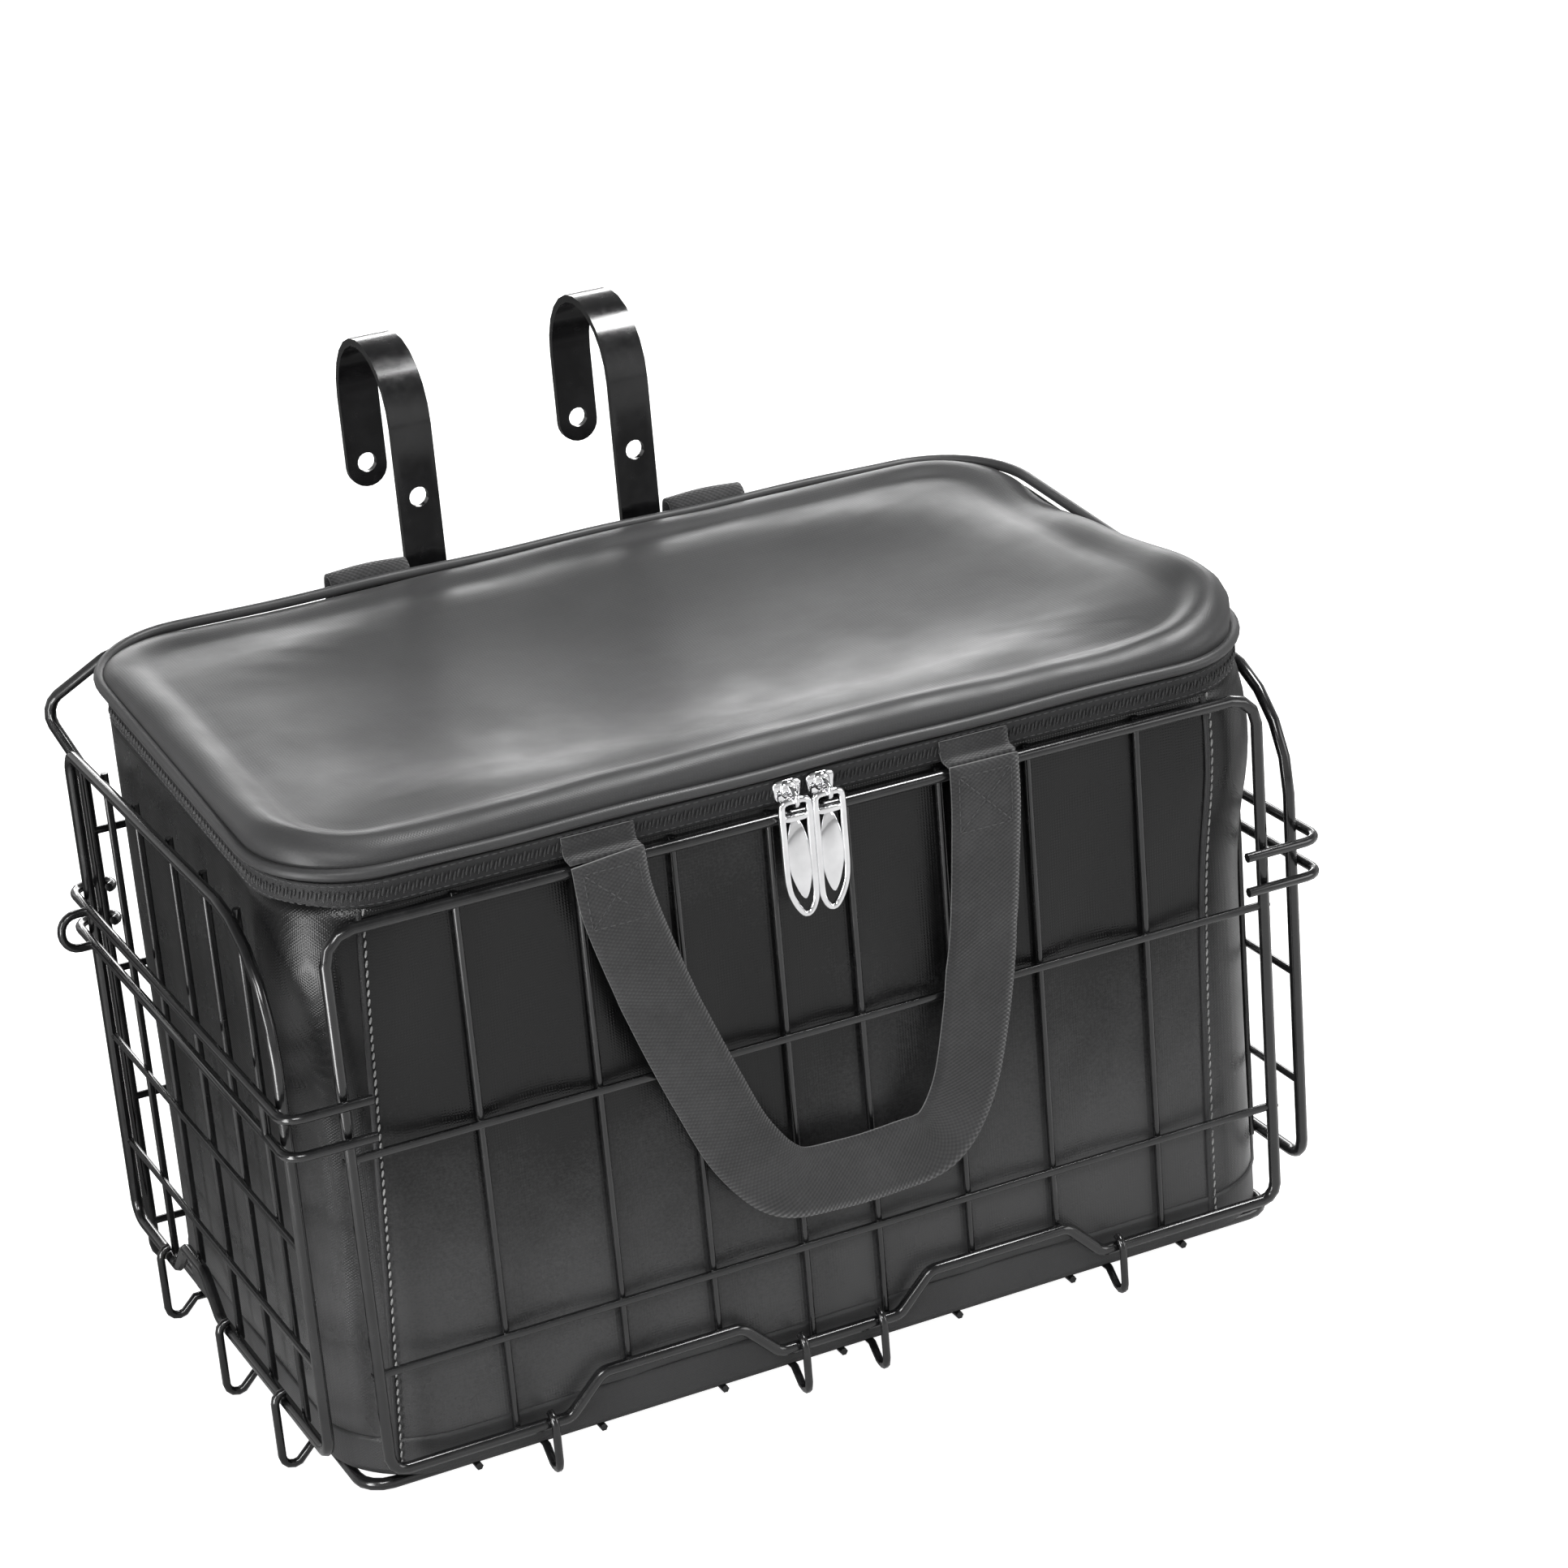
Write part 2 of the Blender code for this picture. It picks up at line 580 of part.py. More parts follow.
def make_back_panel():
    half, low = BACK_WIDTH / 2, BORDER_RADIUS
    top = HINGE_Z + BACK_HEIGHT
    right = [
        (half, BACK_Y, low),
        (half, BACK_Y, top - BACK_SHOULDER_DROP),
        (half + BACK_LIP_OUT, BACK_Y + BACK_LIP_BACK, top - BACK_LIP_DROP),
        (half - BACK_RAIL_INSET, BACK_Y, top),
    ]
    left = [(-x, y, z) for x, y, z in reversed(right)]
    outline = rounded(right + left, BACK_CORNER)
    border = wires("border", [outline], BORDER_RADIUS, closed=True)
    upright_y = BACK_Y - WEB_OFFSET
    runs = []
    for place_x in (BACK_CENTRE_UPRIGHT,) + BACK_UPRIGHTS:
        tip = BACK_TIP if place_x == BACK_CENTRE_UPRIGHT else 0
        for x in (-place_x, place_x):
            runs.append([(x, upright_y, low - GRID_RADIUS / 2), (x, upright_y, top + tip)])
    uprights = wires("uprights", runs, GRID_RADIUS, level=THIN_BEVEL_STEPS)
    rail_y = upright_y + CROSS_OFFSET
    runs = []
    for height in BACK_RAILS:
        runs.append([(-half, rail_y, HINGE_Z + height), (half, rail_y, HINGE_Z + height)])
    rails = wires("rails", runs, GRID_RADIUS, level=THIN_BEVEL_STEPS)
    keep(weld("back_panel", [border, uprights, rails]), "black_powder_coat")


def latch_rod(z):
    # From the tip in front of the front panel to the eye round the back panel's border
    tip_y = FRONT_Y - BORDER_RADIUS - SEAT_GAP - LATCH_RADIUS - BACK_Y
    rod_x = BACK_WIDTH / 2 - SIDE_X - BORDER_RADIUS - SEAT_GAP - LATCH_RADIUS
    tip_x = BACK_WIDTH / 2 - FRONT_WIDTH / 2 + LATCH_TIP
    corners = [(tip_x, tip_y, z), (rod_x, tip_y, z), (rod_x, EYE_RADIUS, z), (0, EYE_RADIUS, z)]
    run = rounded(corners, [0, LATCH_BEND, EYE_BEND, 0], closed=False)
    for angle in EYE_ANGLES:
        turn = math.radians(angle)
        run.append(Vector((EYE_RADIUS * math.cos(turn), EYE_RADIUS * math.sin(turn), z)))
    return run, rod_x, tip_y


def make_latch(name, sign):
    half = LATCH_SPACING / 2
    upper, rod_x, tip_y = latch_rod(half)
    lower = latch_rod(-half)[0]
    loop_y = -SIDE_BACK_INSET - LATCH_LOOP_SETBACK
    out = rod_x - LATCH_LOOP_OUT
    corners = [(rod_x, loop_y, half), (out, loop_y, half), (out, loop_y, -half), (rod_x, loop_y, -half)]
    loop = rounded(corners, LATCH_LOOP_CORNER, steps=5, closed=False)
    tie_y = tip_y + LATCH_TIE_SETBACK
    tie = [Vector((rod_x, tie_y, half)), Vector((rod_x, tie_y, -half))]
    mirror = Matrix.Scale(-1, 3, X_AXIS) if sign > 0 else Matrix.Identity(3)
    place = (sign * BACK_WIDTH / 2, BACK_Y, HINGE_Z + LATCH_HEIGHT)
    rod_runs = [[mirror @ p for p in run] for run in (upper, lower)]
    tie_runs = [[mirror @ p for p in run] for run in (loop, tie)]
    rods = wires("rods", rod_runs, LATCH_RADIUS, place)
    ties = wires("ties", tie_runs, LATCH_TIE_RADIUS, place, level=THIN_BEVEL_STEPS)
    keep(weld(name, [rods, ties]), "black_powder_coat")


def hook_path():
    # The strip's centre line in the hook's own frame: Y back from the strip, Z from the hinge height
    radius = HOOK_SPAN / 2
    points = [(0, 0, HOOK_FOOT), (0, 0, BOLT_HEIGHTS[0]), (0, 0, HOOK_ARCH_START)]
    for n in range(1, HOOK_ARCH_STEPS):
        turn = math.pi * n / HOOK_ARCH_STEPS
        points.append((0, radius * (1 - math.cos(turn)), HOOK_ARCH_START + radius * math.sin(turn)))
    tip = STRIP_WIDTH / 2
    widths = [STRIP_WIDTH] * len(points)
    points.append((0, HOOK_SPAN, HOOK_ARCH_START))
    widths.append(STRIP_WIDTH)
    for n in range(HOOK_TIP_STEPS + 1):
        turn = math.radians(HOOK_TIP_SWEEP) * n / HOOK_TIP_STEPS
        points.append((0, HOOK_SPAN, HOOK_TAIL + tip - tip * math.sin(turn)))
        widths.append(STRIP_WIDTH * math.cos(turn))
    return points, widths


def make_hook(name, x):
    points, widths = hook_path()
    place = (x, STRIP_Y, HINGE_Z)
    strip = ribbon(name, points, X_AXIS, STRIP_WIDTH, STRIP_THICKNESS, place, widths)
    reach = HOOK_SPAN + STRIP_THICKNESS + 2 * CUT_OVERRUN
    middle = STRIP_Y + HOOK_SPAN / 2
    holes = [rod("clamp_hole", CLAMP_HOLE_RADIUS, reach, (x, middle, HINGE_Z + CLAMP_HOLE_HEIGHT))]
    for height in BOLT_HEIGHTS:
        length = STRIP_THICKNESS + 2 * CUT_OVERRUN
        hole_radius = BOLT_RADIUS + BOLT_HOLE_GAP
        holes.append(rod("bolt_hole", hole_radius, length, (x, STRIP_Y, HINGE_Z + height)))
    keep(cut(strip, holes), "black_powder_coat", smooth=False)


def make_sleeve(name, x):
    depth = STRIP_THICKNESS + 2 * SEAT_GAP + 2 * SLEEVE_WALL
    y = STRIP_Y + SLEEVE_WALL - SEAT_GAP
    foot = HINGE_Z + HOOK_FOOT - SLEEVE_WALL - SEAT_GAP
    top = foot + SLEEVE_HEIGHT
    size = (SLEEVE_WIDTH, depth - SLEEVE_WALL, SLEEVE_HEIGHT)
    shell = block(name, size, (x, y, (foot + top) / 2), SLEEVE_BEVEL)
    slot_depth = STRIP_THICKNESS + 2 * SEAT_GAP
    slot_size = (STRIP_WIDTH + 2 * SEAT_GAP, slot_depth, SLEEVE_HEIGHT)
    slot = block("slot", slot_size, (x, STRIP_Y, (foot + top) / 2 + SLEEVE_WALL))
    keep(cut(shell, [slot]), "black_rubber", smooth=False)


def make_clamp(side, x):
    # The plate in front of the wires, with two bolts through it and the strip
    plate_y = BACK_Y - WEB_REACH - SEAT_GAP - PLATE_THICKNESS / 2
    plate_z = HINGE_Z + sum(BOLT_HEIGHTS) / 2
    size = (PLATE_WIDTH, PLATE_THICKNESS, PLATE_HEIGHT)
    plate = block(side + "_clamp_plate", size, (x, plate_y, plate_z))
    holes = []
    for height in BOLT_HEIGHTS:
        hole_radius, length = BOLT_RADIUS + BOLT_HOLE_GAP, PLATE_THICKNESS + 2 * CUT_OVERRUN
        holes.append(rod("bolt_hole", hole_radius, length, (x, plate_y, HINGE_Z + height)))
    keep(cut(plate, holes), "black_powder_coat", smooth=False)
    for word, height in zip(("lower", "upper"), BOLT_HEIGHTS):
        make_bolt(side, word, x, plate_y - PLATE_THICKNESS / 2, HINGE_Z + height)


def make_bolt(side, word, x, front, z):
    # The head lies on the plate, the nut behind the strip
    back = STRIP_Y + STRIP_THICKNESS / 2
    nut_y = back + SEAT_GAP + NUT_HEIGHT / 2
    head_y = front - SEAT_GAP - BOLT_HEAD_HEIGHT / 2
    end = nut_y + NUT_HEIGHT / 2 + BOLT_TAIL
    shank = rod("shank", BOLT_RADIUS, end - head_y, (x, (end + head_y) / 2, z))
    head = rod("head", BOLT_HEAD_RADIUS, BOLT_HEAD_HEIGHT, (x, head_y, z))
    keep(weld(side + "_" + word + "_bolt", [head, shank]), "zinc_bolt")
    nut = rod(side + "_" + word + "_nut", NUT_RADIUS, NUT_HEIGHT, (x, nut_y, z), sides=HEX_SIDES)
    thread = rod("thread", BOLT_RADIUS + SEAT_GAP, NUT_HEIGHT + 2 * CUT_OVERRUN, (x, nut_y, z))
    keep(cut(nut, [thread]), "zinc_bolt", smooth=False)


def make_rear_stay():
    y = GRID_BACK_Y + SEAT_GAP + STAY_RADIUS
    low, high = HINGE_Z + STAY_FOOT + STAY_HALF_WIDTH, HINGE_Z + STAY_HEAD - STAY_HALF_WIDTH
    points = []
    for centre, first in ((high, 0), (low, math.pi)):
        for n in range(STAY_ARC_STEPS + 1):
            turn = first + math.pi * n / STAY_ARC_STEPS
            across, rise = STAY_HALF_WIDTH * math.cos(turn), STAY_HALF_WIDTH * math.sin(turn)
            points.append((across, y, centre + rise))
    keep(wires("rear_stay", [points], STAY_RADIUS, closed=True), "black_powder_coat")


def make_bracket():
    # A plate behind the wires, between the two runs of the stay, with holes and notches
    y = GRID_BACK_Y + SEAT_GAP + BRACKET_THICKNESS / 2
    z = HINGE_Z + BRACKET_MIDDLE
    plate = block("rear_bracket", (BRACKET_WIDTH, BRACKET_THICKNESS, BRACKET_HEIGHT), (0, y, z))
    length = BRACKET_THICKNESS + 2 * CUT_OVERRUN
    cutters = []
    for step in (-0.5, 0.5):
        hole_z = z + step * BRACKET_HOLE_PITCH
        cutters.append(rod("round_hole", BRACKET_HOLE_RADIUS, length, (0, y, hole_z)))
        for side in (-1, 1):
            spot = (side * BRACKET_NOTCH, y, hole_z + BRACKET_NOTCH_RISE)
            cutters.append(rod("notch", BRACKET_HOLE_RADIUS / 2, length, spot, sides=3))
    keep(cut(plate, cutters), "black_powder_coat", smooth=False)


def bag_outline(inset=0, steps=BAG_CORNER_STEPS):
    left, right = -BAG_SIDE_X + inset, BAG_SIDE_X - inset
    near, far = BAG_FRONT_Y + inset, BAG_BACK_Y - inset
    corners = [(left, near, 0), (right, near, 0), (right, far, 0), (left, far, 0)]
    return rounded(corners, BAG_CORNER - inset, steps=steps)


def top_height(y):
    # The height of the bag's sloping top edge at y
    return HINGE_Z + BAG_FRONT_TOP + LID_SLOPE * (y - BAG_FRONT_Y)


def ring_shell(name, rings, thickness, close_first=True, close_last=False):
    # An open surface through rings of points, thickened to a shell
    shape = bmesh.new()
    made = [[shape.verts.new(p) for p in ring] for ring in rings]
    count = len(made[0])
    for one, two in zip(made, made[1:]):
        for n in range(count):
            shape.faces.new((one[n], one[(n + 1) % count], two[(n + 1) % count], two[n]))
    if close_first:
        shape.faces.new(made[0][::-1])
    if close_last:
        shape.faces.new(made[-1])
    mesh = bpy.data.meshes.new(name)
    shape.to_mesh(mesh)
    shape.free()
    item = add_object(name, mesh)
    wall = item.modifiers.new("wall", "SOLIDIFY")
    wall.thickness = thickness
    wall.offset = -1
    wall.use_even_offset = True
    return as_mesh(item)


def make_bag():
    outer = bag_outline()
    rings = []
    for step in range(BAG_WALL_STEPS + 1):
        share = step / BAG_WALL_STEPS
        ring = [(p.x, p.y, BAG_BOTTOM_Z + share * (top_height(p.y) - BAG_BOTTOM_Z)) for p in outer]
        rings.append(ring)
    keep(ring_shell("liner_bag", rings, BAG_WALL), "bag_fabric")
    inner = bag_outline(BAG_WALL + SEAT_GAP)
    floor = BAG_BOTTOM_Z + BAG_WALL + SEAT_GAP
    rings = []
    for share in (0, 1):
        rings.append([(p.x, p.y, floor + share * (top_height(p.y) - LINING_WALL - floor)) for p in inner])
    keep(ring_shell("inner_lining", rings, LINING_WALL), "foil_lining")


def make_lid():
    edge = bag_outline()
    pivot = lid_pivot()
    skirt, brim = [], []
    for p in edge:
        forward_share = (BAG_BACK_Y - p.y) / BAG_DEPTH
        back_share = 1 - min(forward_share / LID_BACK_RUN_SHARE, 1)
        low = top_height(p.y) + ZIP_GAP
        skirt.append(Vector((p.x, p.y, low + back_share * LID_BACK_RISE_SHARE * LID_SKIRT)))
        brim.append(Vector((p.x, p.y, low + LID_SKIRT)))
    centre = sum(brim, Vector()) / len(brim)
    rings = [skirt, brim]
    for size, sag in zip(LID_RING_SHARES, LID_SAG_SHARES):
        rings.append([centre + (p - centre) * size - Z_AXIS * LID_SAG * sag for p in brim])
    lid = ring_shell("liner_lid", rings, LID_WALL, close_first=False, close_last=True)
    move_origin(lid, pivot)
    keep(lid, "bag_fabric")
    gap = PIPING_RADIUS + SEAT_GAP
    outline = bag_outline(-gap)
    points = [(p.x, p.y, top_height(p.y) + ZIP_GAP + LID_SKIRT) for p in outline]
    piping = wires("lid_piping", [points], PIPING_RADIUS, closed=True, level=THIN_BEVEL_STEPS)
    move_origin(piping, pivot)
    keep(piping, "binding")


def lid_pivot():
    y = BAG_BACK_Y
    return Vector((0, y, top_height(y) + ZIP_GAP + LID_SKIRT))


def move_origin(item, place):
    bpy.context.view_layer.update()
    item.data.transform(Matrix.Translation(item.location - Vector(place)))
    item.location = place


def make_zip_tape():
    # The tape goes round the front and both sides, and stops at the back corners
    outline = bag_outline(-SEAT_GAP - TAPE_THICKNESS / 2)
    behind = BAG_BACK_Y - BAG_CORNER
    run = [p for p in outline if p.y < behind + SEAT_GAP]
    left = [p for p in run if p.x < 0]
    right = [p for p in run if p.x >= 0]
    left.sort(key=lambda p: -p.y)
    right.sort(key=lambda p: p.y)
    points = [Vector((p.x, p.y, top_height(p.y) + TAPE_RISE)) for p in left + right]
    keep(ribbon("zip_tape", points, Z_AXIS, TAPE_WIDTH, TAPE_THICKNESS), "zip_tape")


def plate(name, outline, thickness, place=(0, 0, 0)):
    # A flat plate that faces the front, from an outline in X and Z
    curve = bpy.data.curves.new(name, "CURVE")
    curve.dimensions = "2D"
    curve.fill_mode = "BOTH"
    curve.extrude = thickness / 2
    spline = curve.splines.new("POLY")
    spline.points.add(len(outline) - 1)
    for point, spot in zip(spline.points, outline):
        point.co = (spot[0], spot[2], 0, 1)
    spline.use_cyclic_u = True
    item = add_object(name, curve, place)
    item.rotation_euler = (math.pi / 2, 0, 0)
    return as_mesh(item)


def make_slider(side, x):
    place = Vector((x, SLIDER_Y, SLIDER_Z))
    body = block("body", (SLIDER_WIDTH, SLIDER_THICKNESS, SLIDER_HEIGHT), place, SLIDER_BEVEL)
    reach = -SLIDER_THICKNESS / 2 - BAIL_REACH
    high, low = BAIL_HALF_HEIGHT - BAIL_DROP, -BAIL_HALF_HEIGHT - BAIL_DROP
    corners = [(0, 0, high), (0, reach, high), (0, reach, low), (0, 0, low)]
    run = rounded(corners, BAIL_CORNER, closed=False)
    bail = wires("bail", [run], BAIL_RADIUS, place, level=THIN_BEVEL_STEPS)
    keep(weld("zip_slider_" + side, [body, bail]), "chrome")
    pivot_z = SLIDER_Z + low + BAIL_RADIUS + SEAT_GAP + PULL_WIRE
    make_pull("zip_pull_" + side, Vector((x, PULL_Y, pivot_z)))


def make_pull(name, pivot):
    # A wire ring with a flat leaf in it: the eye above the leaf takes the slider's bail
    half, low = PULL_WIDTH / 2, -PULL_LENGTH
    corners = [(-half, 0, 0), (half, 0, 0), (half, 0, low), (-half, 0, low)]
    radii = [PULL_CORNER, PULL_CORNER, PULL_END, PULL_END]
    run = rounded(corners, radii, PULL_ARC_STEPS)
    ring = wires("ring", [run], PULL_WIRE, pivot, closed=True, level=THIN_BEVEL_STEPS)
    top, bottom = -PULL_EYE, -PULL_EYE - PULL_LEAF
    outline = [(-half, 0, top), (half, 0, top), (half, 0, bottom + PULL_LEAF_POINT), (0, 0, bottom)]
    outline.append((-half, 0, bottom + PULL_LEAF_POINT))
    leaf = plate("leaf", outline, PULL_LEAF_THICKNESS, pivot)
    keep(weld(name, [ring, leaf]), "chrome")


def make_handle():
    # The webbing hangs in front of the wires, from two tabs sewn to the bag's top band
    low = HINGE_Z + HANDLE_HANG
    drop = HANDLE_CREST_Z - low
    sides = []
    for x, foot in ((HANDLE_LEFT, HANDLE_LEFT_FOOT), (HANDLE_RIGHT, HANDLE_RIGHT_FOOT)):
        run = []
        for lean_share, fall_share in zip(HANDLE_LEAN_SHARES, HANDLE_FALL_SHARES):
            run.append(Vector((x + lean_share * (foot - x), 0, -fall_share * drop)))
        sides.append(run)
    half = HANDLE_WIDTH / 2
    base = [Vector((HANDLE_LEFT_FOOT + half, 0, -drop)), Vector((HANDLE_RIGHT_FOOT - half, 0, -drop))]
    spots = sides[0] + base + sides[1][::-1]
    place = (0, HANDLE_Y, HANDLE_CREST_Z)
    across = []
    for k in range(len(spots)):
        run = (spots[min(k + 1, len(spots) - 1)] - spots[max(k - 1, 0)]).normalized()
        across.append(Vector((-run.z, 0, run.x)))
    keep(ribbon("carry_handle", spots, across, HANDLE_WIDTH, HANDLE_THICKNESS, place), "webbing")


def make_handle_tab(name, x):
    # Sewn to the band behind the front panel, over its top wire, and open at the handle's edge
    root_y = TAPE_Y - TAPE_THICKNESS / 2 - SEAT_GAP - HANDLE_THICKNESS / 2
    end_y = HANDLE_Y + HANDLE_THICKNESS / 2 + SEAT_GAP
    top = HANDLE_CREST_Z + HANDLE_TAB_RISE
    corners = [(0, root_y, top), (0, root_y, HANDLE_CREST_Z), (0, end_y, HANDLE_CREST_Z)]
    points = rounded(corners, HANDLE_TAB_BEND, closed=False)
    keep(ribbon(name, points, X_AXIS, HANDLE_WIDTH, HANDLE_THICKNESS, (x, 0, 0)), "webbing")


def make_rear_tab(name, x):
    # A webbing tab from the bag's back edge over the back panel's top wire
    top = HINGE_Z + BACK_HEIGHT
    front = BACK_Y - WEB_REACH - SEAT_GAP - TAB_THICKNESS / 2
    back = BACK_Y + BORDER_RADIUS + SEAT_GAP + TAB_THICKNESS / 2
    crown = top + BORDER_RADIUS + TAB_LIFT
    points = [
        (0, BAG_BACK_Y + SEAT_GAP + TAB_THICKNESS / 2, top - TAB_DROP),
        (0, front - TAB_THICKNESS / 4, top - TAB_DROP / 5),
        (0, front + TAB_THICKNESS / 4, top + TAB_LIFT / 2),
        (0, (front + back) / 2, crown),
        (0, back, top + TAB_LIFT / 2),
        (0, back + TAB_THICKNESS / 4, top - TAB_DROP / 5),
        (0, back, top - TAB_DROP),
    ]
    keep(ribbon(name, points, X_AXIS, TAB_WIDTH, TAB_THICKNESS, (x, 0, 0)), "webbing")


clear_scene()
basket = new_collection("folding_bicycle_basket")
make_base()
make_front_panel()
make_side_panel("left_side_panel", -1)
make_side_panel("right_side_panel", 1)
make_back_panel()
make_latch("left_latch", -1)
make_latch("right_latch", 1)
for word, sign in (("left", -1), ("right", 1)):
    make_hook(word + "_hook", sign * HOOK_PLACE)
    make_sleeve(word + "_hook_sleeve", sign * HOOK_PLACE)
    make_clamp(word, sign * HOOK_PLACE)
    make_slider(word, SLIDER_MIDDLE + sign * SLIDER_SPACING / 2)
    make_rear_tab(word + "_rear_tab", sign * TAB_PLACE)
make_rear_stay()
make_bracket()
make_bag()
make_lid()
make_zip_tape()
make_handle()
make_handle_tab("left_handle_tab", HANDLE_LEFT)
make_handle_tab("right_handle_tab", HANDLE_RIGHT)
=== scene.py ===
# Folding bicycle basket with its zipped bag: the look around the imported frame.
import math

import bmesh
import bpy
from mathutils import Matrix, Vector, noise


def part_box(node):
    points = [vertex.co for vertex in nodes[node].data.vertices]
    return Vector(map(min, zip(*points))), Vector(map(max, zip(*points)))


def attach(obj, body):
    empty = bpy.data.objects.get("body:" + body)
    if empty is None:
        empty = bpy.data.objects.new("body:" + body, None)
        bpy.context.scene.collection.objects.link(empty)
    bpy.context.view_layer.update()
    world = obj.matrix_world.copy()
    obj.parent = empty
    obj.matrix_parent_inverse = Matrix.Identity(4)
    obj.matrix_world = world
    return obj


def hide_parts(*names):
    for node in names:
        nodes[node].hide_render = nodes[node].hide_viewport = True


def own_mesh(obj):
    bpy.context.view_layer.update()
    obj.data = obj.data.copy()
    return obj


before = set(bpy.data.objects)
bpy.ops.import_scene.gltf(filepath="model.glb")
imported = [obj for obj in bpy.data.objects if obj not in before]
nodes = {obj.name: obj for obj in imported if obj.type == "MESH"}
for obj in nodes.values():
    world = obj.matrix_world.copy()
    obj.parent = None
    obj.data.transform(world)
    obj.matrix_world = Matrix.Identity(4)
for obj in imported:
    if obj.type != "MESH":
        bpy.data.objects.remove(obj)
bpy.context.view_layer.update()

scene = bpy.context.scene
print("frame loaded with", len(nodes), "nodes")

# most heights are counted from the front grid's hinge pin, which is this far below the grid's top
pinDrop = 0.2085
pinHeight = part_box("front_panel")[1].z - pinDrop
sides = ("left", "right")
upright = Vector((0, 0, 1))

view = {
    "lens": 96.257, "sensor": 36, "place": (-0.56331, -1.38021, 0.77531),
    "turn": -24.181, "tilt": 21.665, "roll": -4.910,
}


def addCamera():
    turn, tilt, roll = (math.radians(view[key]) for key in ("turn", "tilt", "roll"))
    ahead = Vector((-math.sin(turn) * math.cos(tilt), math.cos(turn) * math.cos(tilt), -math.sin(tilt)))
    level = Vector((math.cos(turn), math.sin(turn), 0))
    upward = level.cross(ahead)
    across = math.cos(roll) * level + math.sin(roll) * upward
    above = math.cos(roll) * upward - math.sin(roll) * level
    data = bpy.data.cameras.new("photoCamera")
    data.lens = view["lens"]
    data.sensor_width = view["sensor"]
    camera = bpy.data.objects.new("photoCamera", data)
    camera.matrix_world = Matrix((across, above, -ahead)).transposed().to_4x4()
    camera.location = view["place"]
    scene.collection.objects.link(camera)
    scene.camera = camera


addCamera()
print("camera placed")


def addNode(tree, kind, inputs=None, **settings):
    node = tree.nodes.new(kind)
    for key, value in settings.items():
        setattr(node, key, value)
    for key, value in (inputs or {}).items():
        node.inputs[key].default_value = value
    return node


def newFinish(name, **shaderValues):
    finish = bpy.data.materials.new(name)
    finish.use_nodes = True
    tree = finish.node_tree
    shader = tree.nodes["Principled BSDF"]
    for key, value in shaderValues.items():
        shader.inputs[key.replace("_", " ")].default_value = value
    place = addNode(tree, "ShaderNodeTexCoord")
    return finish, tree, shader, place.outputs["Object"]


def grain(tree, place, scale, detail=3.0, stretch=None):
    # a noise, in turns for each metre, stretched along the axes if asked
    if stretch:
        mapping = addNode(tree, "ShaderNodeMapping", {"Scale": stretch})
        tree.links.new(place, mapping.inputs["Vector"])
        place = mapping.outputs["Vector"]
    node = addNode(tree, "ShaderNodeTexNoise", {"Scale": scale, "Detail": detail, "Roughness": 0.55})
    tree.links.new(place, node.inputs["Vector"])
    return node.outputs["Fac"]


def spread(tree, source, low, high, fromLow=0.3, fromHigh=0.7):
    ends = {"From Min": fromLow, "From Max": fromHigh, "To Min": low, "To Max": high}
    node = addNode(tree, "ShaderNodeMapRange", ends)
    tree.links.new(source, node.inputs["Value"])
    return node.outputs["Result"]


def tones(tree, source, dark, light, start=0.35, end=0.65):
    ramp = addNode(tree, "ShaderNodeValToRGB")
    ramp.color_ramp.elements[0].color = (*dark, 1)
    ramp.color_ramp.elements[0].position = start
    ramp.color_ramp.elements[1].color = (*light, 1)
    ramp.color_ramp.elements[1].position = end
    tree.links.new(source, ramp.inputs["Fac"])
    return ramp.outputs["Color"]


def colourBy(tree, shader, source, dark, light, start=0.35, end=0.65):
    tree.links.new(tones(tree, source, dark, light, start, end), shader.inputs["Base Color"])


def roughBy(tree, shader, source, low, high):
    tree.links.new(spread(tree, source, low, high), shader.inputs["Roughness"])


def splitOf(tree, source):
    node = addNode(tree, "ShaderNodeSeparateXYZ")
    tree.links.new(source, node.inputs[0])
    return [node.outputs[key] for key in "XYZ"]


def sineOf(tree, source):
    node = addNode(tree, "ShaderNodeMath", operation="SINE")
    tree.links.new(source, node.inputs[0])
    return node.outputs[0]


def sumOf(tree, one, two, operation="ADD"):
    node = addNode(tree, "ShaderNodeMath", operation=operation)
    tree.links.new(one, node.inputs[0])
    if isinstance(two, float):
        node.inputs[1].default_value = two
    else:
        tree.links.new(two, node.inputs[1])
    return node.outputs[0]


def addBump(tree, shader, heights):
    # heights is a list of (height socket, strength, distance in metres), coarse ones first
    last = None
    for source, strength, distance in heights:
        bump = addNode(tree, "ShaderNodeBump", {"Strength": strength, "Distance": distance})
        tree.links.new(source, bump.inputs["Height"])
        if last:
            tree.links.new(last, bump.inputs["Normal"])
        last = bump.outputs["Normal"]
    tree.links.new(last, shader.inputs["Normal"])


def threadHeight(tree, place, pitch):
    # a plain weave on any upright or level face: crossing rows of threads
    scale = addNode(tree, "ShaderNodeVectorMath", {"Scale": 2 * math.pi / pitch}, operation="SCALE")
    tree.links.new(place, scale.inputs[0])
    wave = addNode(tree, "ShaderNodeVectorMath", operation="SINE")
    tree.links.new(scale.outputs[0], wave.inputs[0])
    x, y, z = splitOf(tree, wave.outputs[0])
    front = sumOf(tree, x, z, "MULTIPLY")
    side = sumOf(tree, y, z, "MULTIPLY")
    level = sumOf(tree, x, y, "MULTIPLY")
    return sumOf(tree, sumOf(tree, front, side), level)


# a cloth with painted shade turns darker with its height, between these two in metres: painted light near the
# floor, painted shade up towards the mouth
paintedShadeHeights = (0.02, 0.155)


